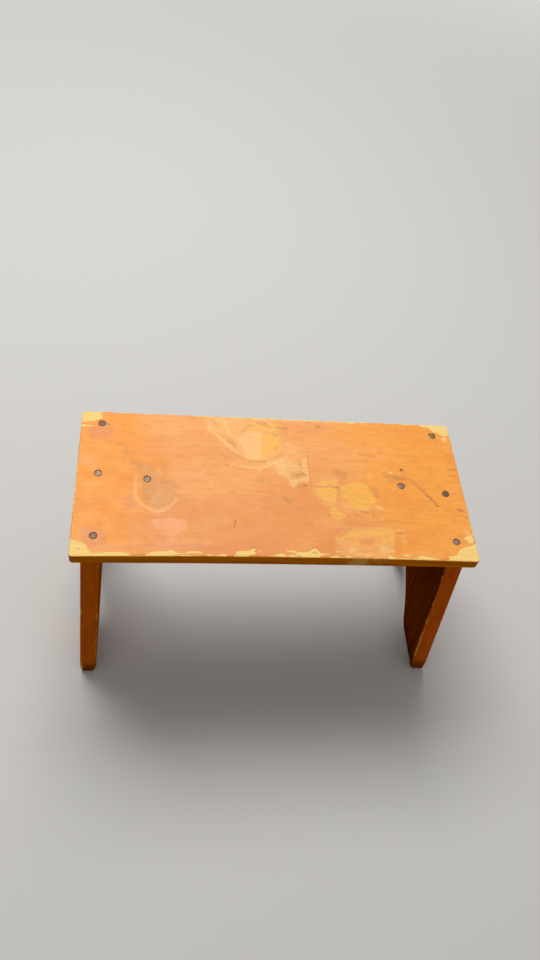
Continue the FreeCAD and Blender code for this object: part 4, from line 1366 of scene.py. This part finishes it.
LEG_COLOURS = {"left_leg": (colour(226, 110, 1), colour(198, 88, 0)),
               "right_leg": (colour(232, 106, 1), colour(204, 84, 0))}
# Colours of the faces that turn inwards. The right leg's are painted shade, much darker than its outer
# varnish, where the seat shades them. The left leg's match its outer varnish.
INSIDE_VARNISH_AND_SHADE = {"left_leg": (colour(226, 112, 2), colour(196, 88, 1)),
                  "right_leg": (colour(150, 66, 12), colour(98, 30, 8))}
for name, side, seed in (("left_leg", -1, 11), ("right_leg", 1, 15)):
    foot, top = LEG_SPANS[name][1][0], LEG_SPANS[name][2][0]
    lean = (top[0] - foot[0]) / (top[2] - foot[2])
    leg = build_leg(name, side, seed)
    outer = leg_finish(name + "_varnish", *LEG_COLOURS[name], lean, specular=0.02)
    inner = leg_finish(name + "_inside_varnish_and_shade", *INSIDE_VARNISH_AND_SHADE[name], lean, specular=0.0)
    for material in (outer, inner):
        leg.data.materials.append(material)
    # Faces that turn inwards take the inner finish, which on the right leg is painted shade.
    for face in leg.data.polygons:
        face.material_index = int(face.normal.x * side < FACES_INWARD)
    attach(leg, "root")
    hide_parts(name)

# %% [markdown]
# ## The stretcher
#
# The stretcher is the plank on edge that keeps the legs apart. Nobody sees it without turning the stool
# over, and it had one thin coat of varnish at most. It is made as the other boards are, from the four
# corners of its CAD node, whose ends are cut to the legs' leans.

# %% Build the stretcher
STRETCHER_CORNER_RADIUS = 1.8
STRETCHER_SPACING = 2.0
stretcher_low, stretcher_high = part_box("stretcher")
ends_low = level_span("stretcher", stretcher_low.z)
ends_high = level_span("stretcher", UNDERSIDE)
corners = [(ends_low[0][0], stretcher_low.z), (ends_low[1][0], stretcher_low.z),
           (ends_high[1][0], UNDERSIDE), (ends_high[0][0], UNDERSIDE)]
corners = [(x / MM, z / MM, STRETCHER_CORNER_RADIUS) for x, z in corners]
outline = rounded_outline(corners, STRETCHER_SPACING)
stretcher_arris = np.clip(0.8 + 0.2 * uneven(outline, 21, 20), 0.5, 1.0)
stretcher_thickness = (stretcher_high.y - stretcher_low.y) / MM


def stretcher_place(points):
    return np.column_stack([points[:, 0], stretcher_high.y / MM - points[:, 2], points[:, 1]]) * MM


stretcher_rubs = [0.6 * uneven(outline, number, 9) for number in (22, 23)]
board = Board(outline, stretcher_thickness, stretcher_arris, stretcher_arris, [], LEG_GRID, LEG_GRID,
              stretcher_rubs)
stretcher = board.finish("stretcher_plank", stretcher_place, {})
stretcher.data.materials.append(plain_pine("stretcher_varnish", colour(222, 142, 66), colour(178, 98, 36)))
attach(stretcher, "root")
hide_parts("stretcher")

# %% [markdown]
# ## Steel
#
# The nail heads are flat wire nails. Feet keep some of them bright, and the ones that nobody steps on
# have gone brown. One material serves all: it reads how bright a head is from the point that the tree
# set it on. The dirt round each head belongs to the wood's finish.

# %% Make the nails
DULL_STEEL = colour(86, 62, 44)
BRIGHT_STEEL = colour(158, 132, 106)
STEEL_METALLIC = 0.4
DENT_DEPTH = 0.08 * MM
NAIL_SEED = 4


def nail_finish():
    """Steel that is as bright as each head says, in spots."""
    material, w, shader = new_finish("nail_steel")
    place = w.vector("SCALE", w.node("ShaderNodeTexCoord").outputs["Object"], 1 / MM)
    shine = w.attribute("shine")
    spots = w.noise(place, 1.1, 4.0, 0.6)
    bright = w.math("MULTIPLY", w.smooth(spots, 0.3, 0.6), shine)
    w.put(shader.inputs["Base Color"], w.mix(bright, DULL_STEEL, BRIGHT_STEEL))
    shader.inputs["Metallic"].default_value = STEEL_METALLIC
    w.put(shader.inputs["Roughness"], w.math("SUBTRACT", 0.62, w.math("MULTIPLY", bright, 0.28)))
    w.put(shader.inputs["Normal"], bump(w, spots, DENT_DEPTH))
    return material


nail_steel = nail_finish()
nail_attributes = {
    "facing": ("FLOAT_VECTOR", "vector", [facing for _, facing in heads.values()]),
    "head": ("FLOAT_VECTOR", "vector", [head for head, _ in heads.values()]),
    "shine": ("FLOAT", "value", list(HEAD_SHINE.values()))}
nails = made_by_tree("nails", [head for head, _ in heads.values()], nail_attributes, nail_tree(nail_steel),
                     {**NAIL_SIZES, "Seed": NAIL_SEED})
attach(nails, "root")
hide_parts(*heads)
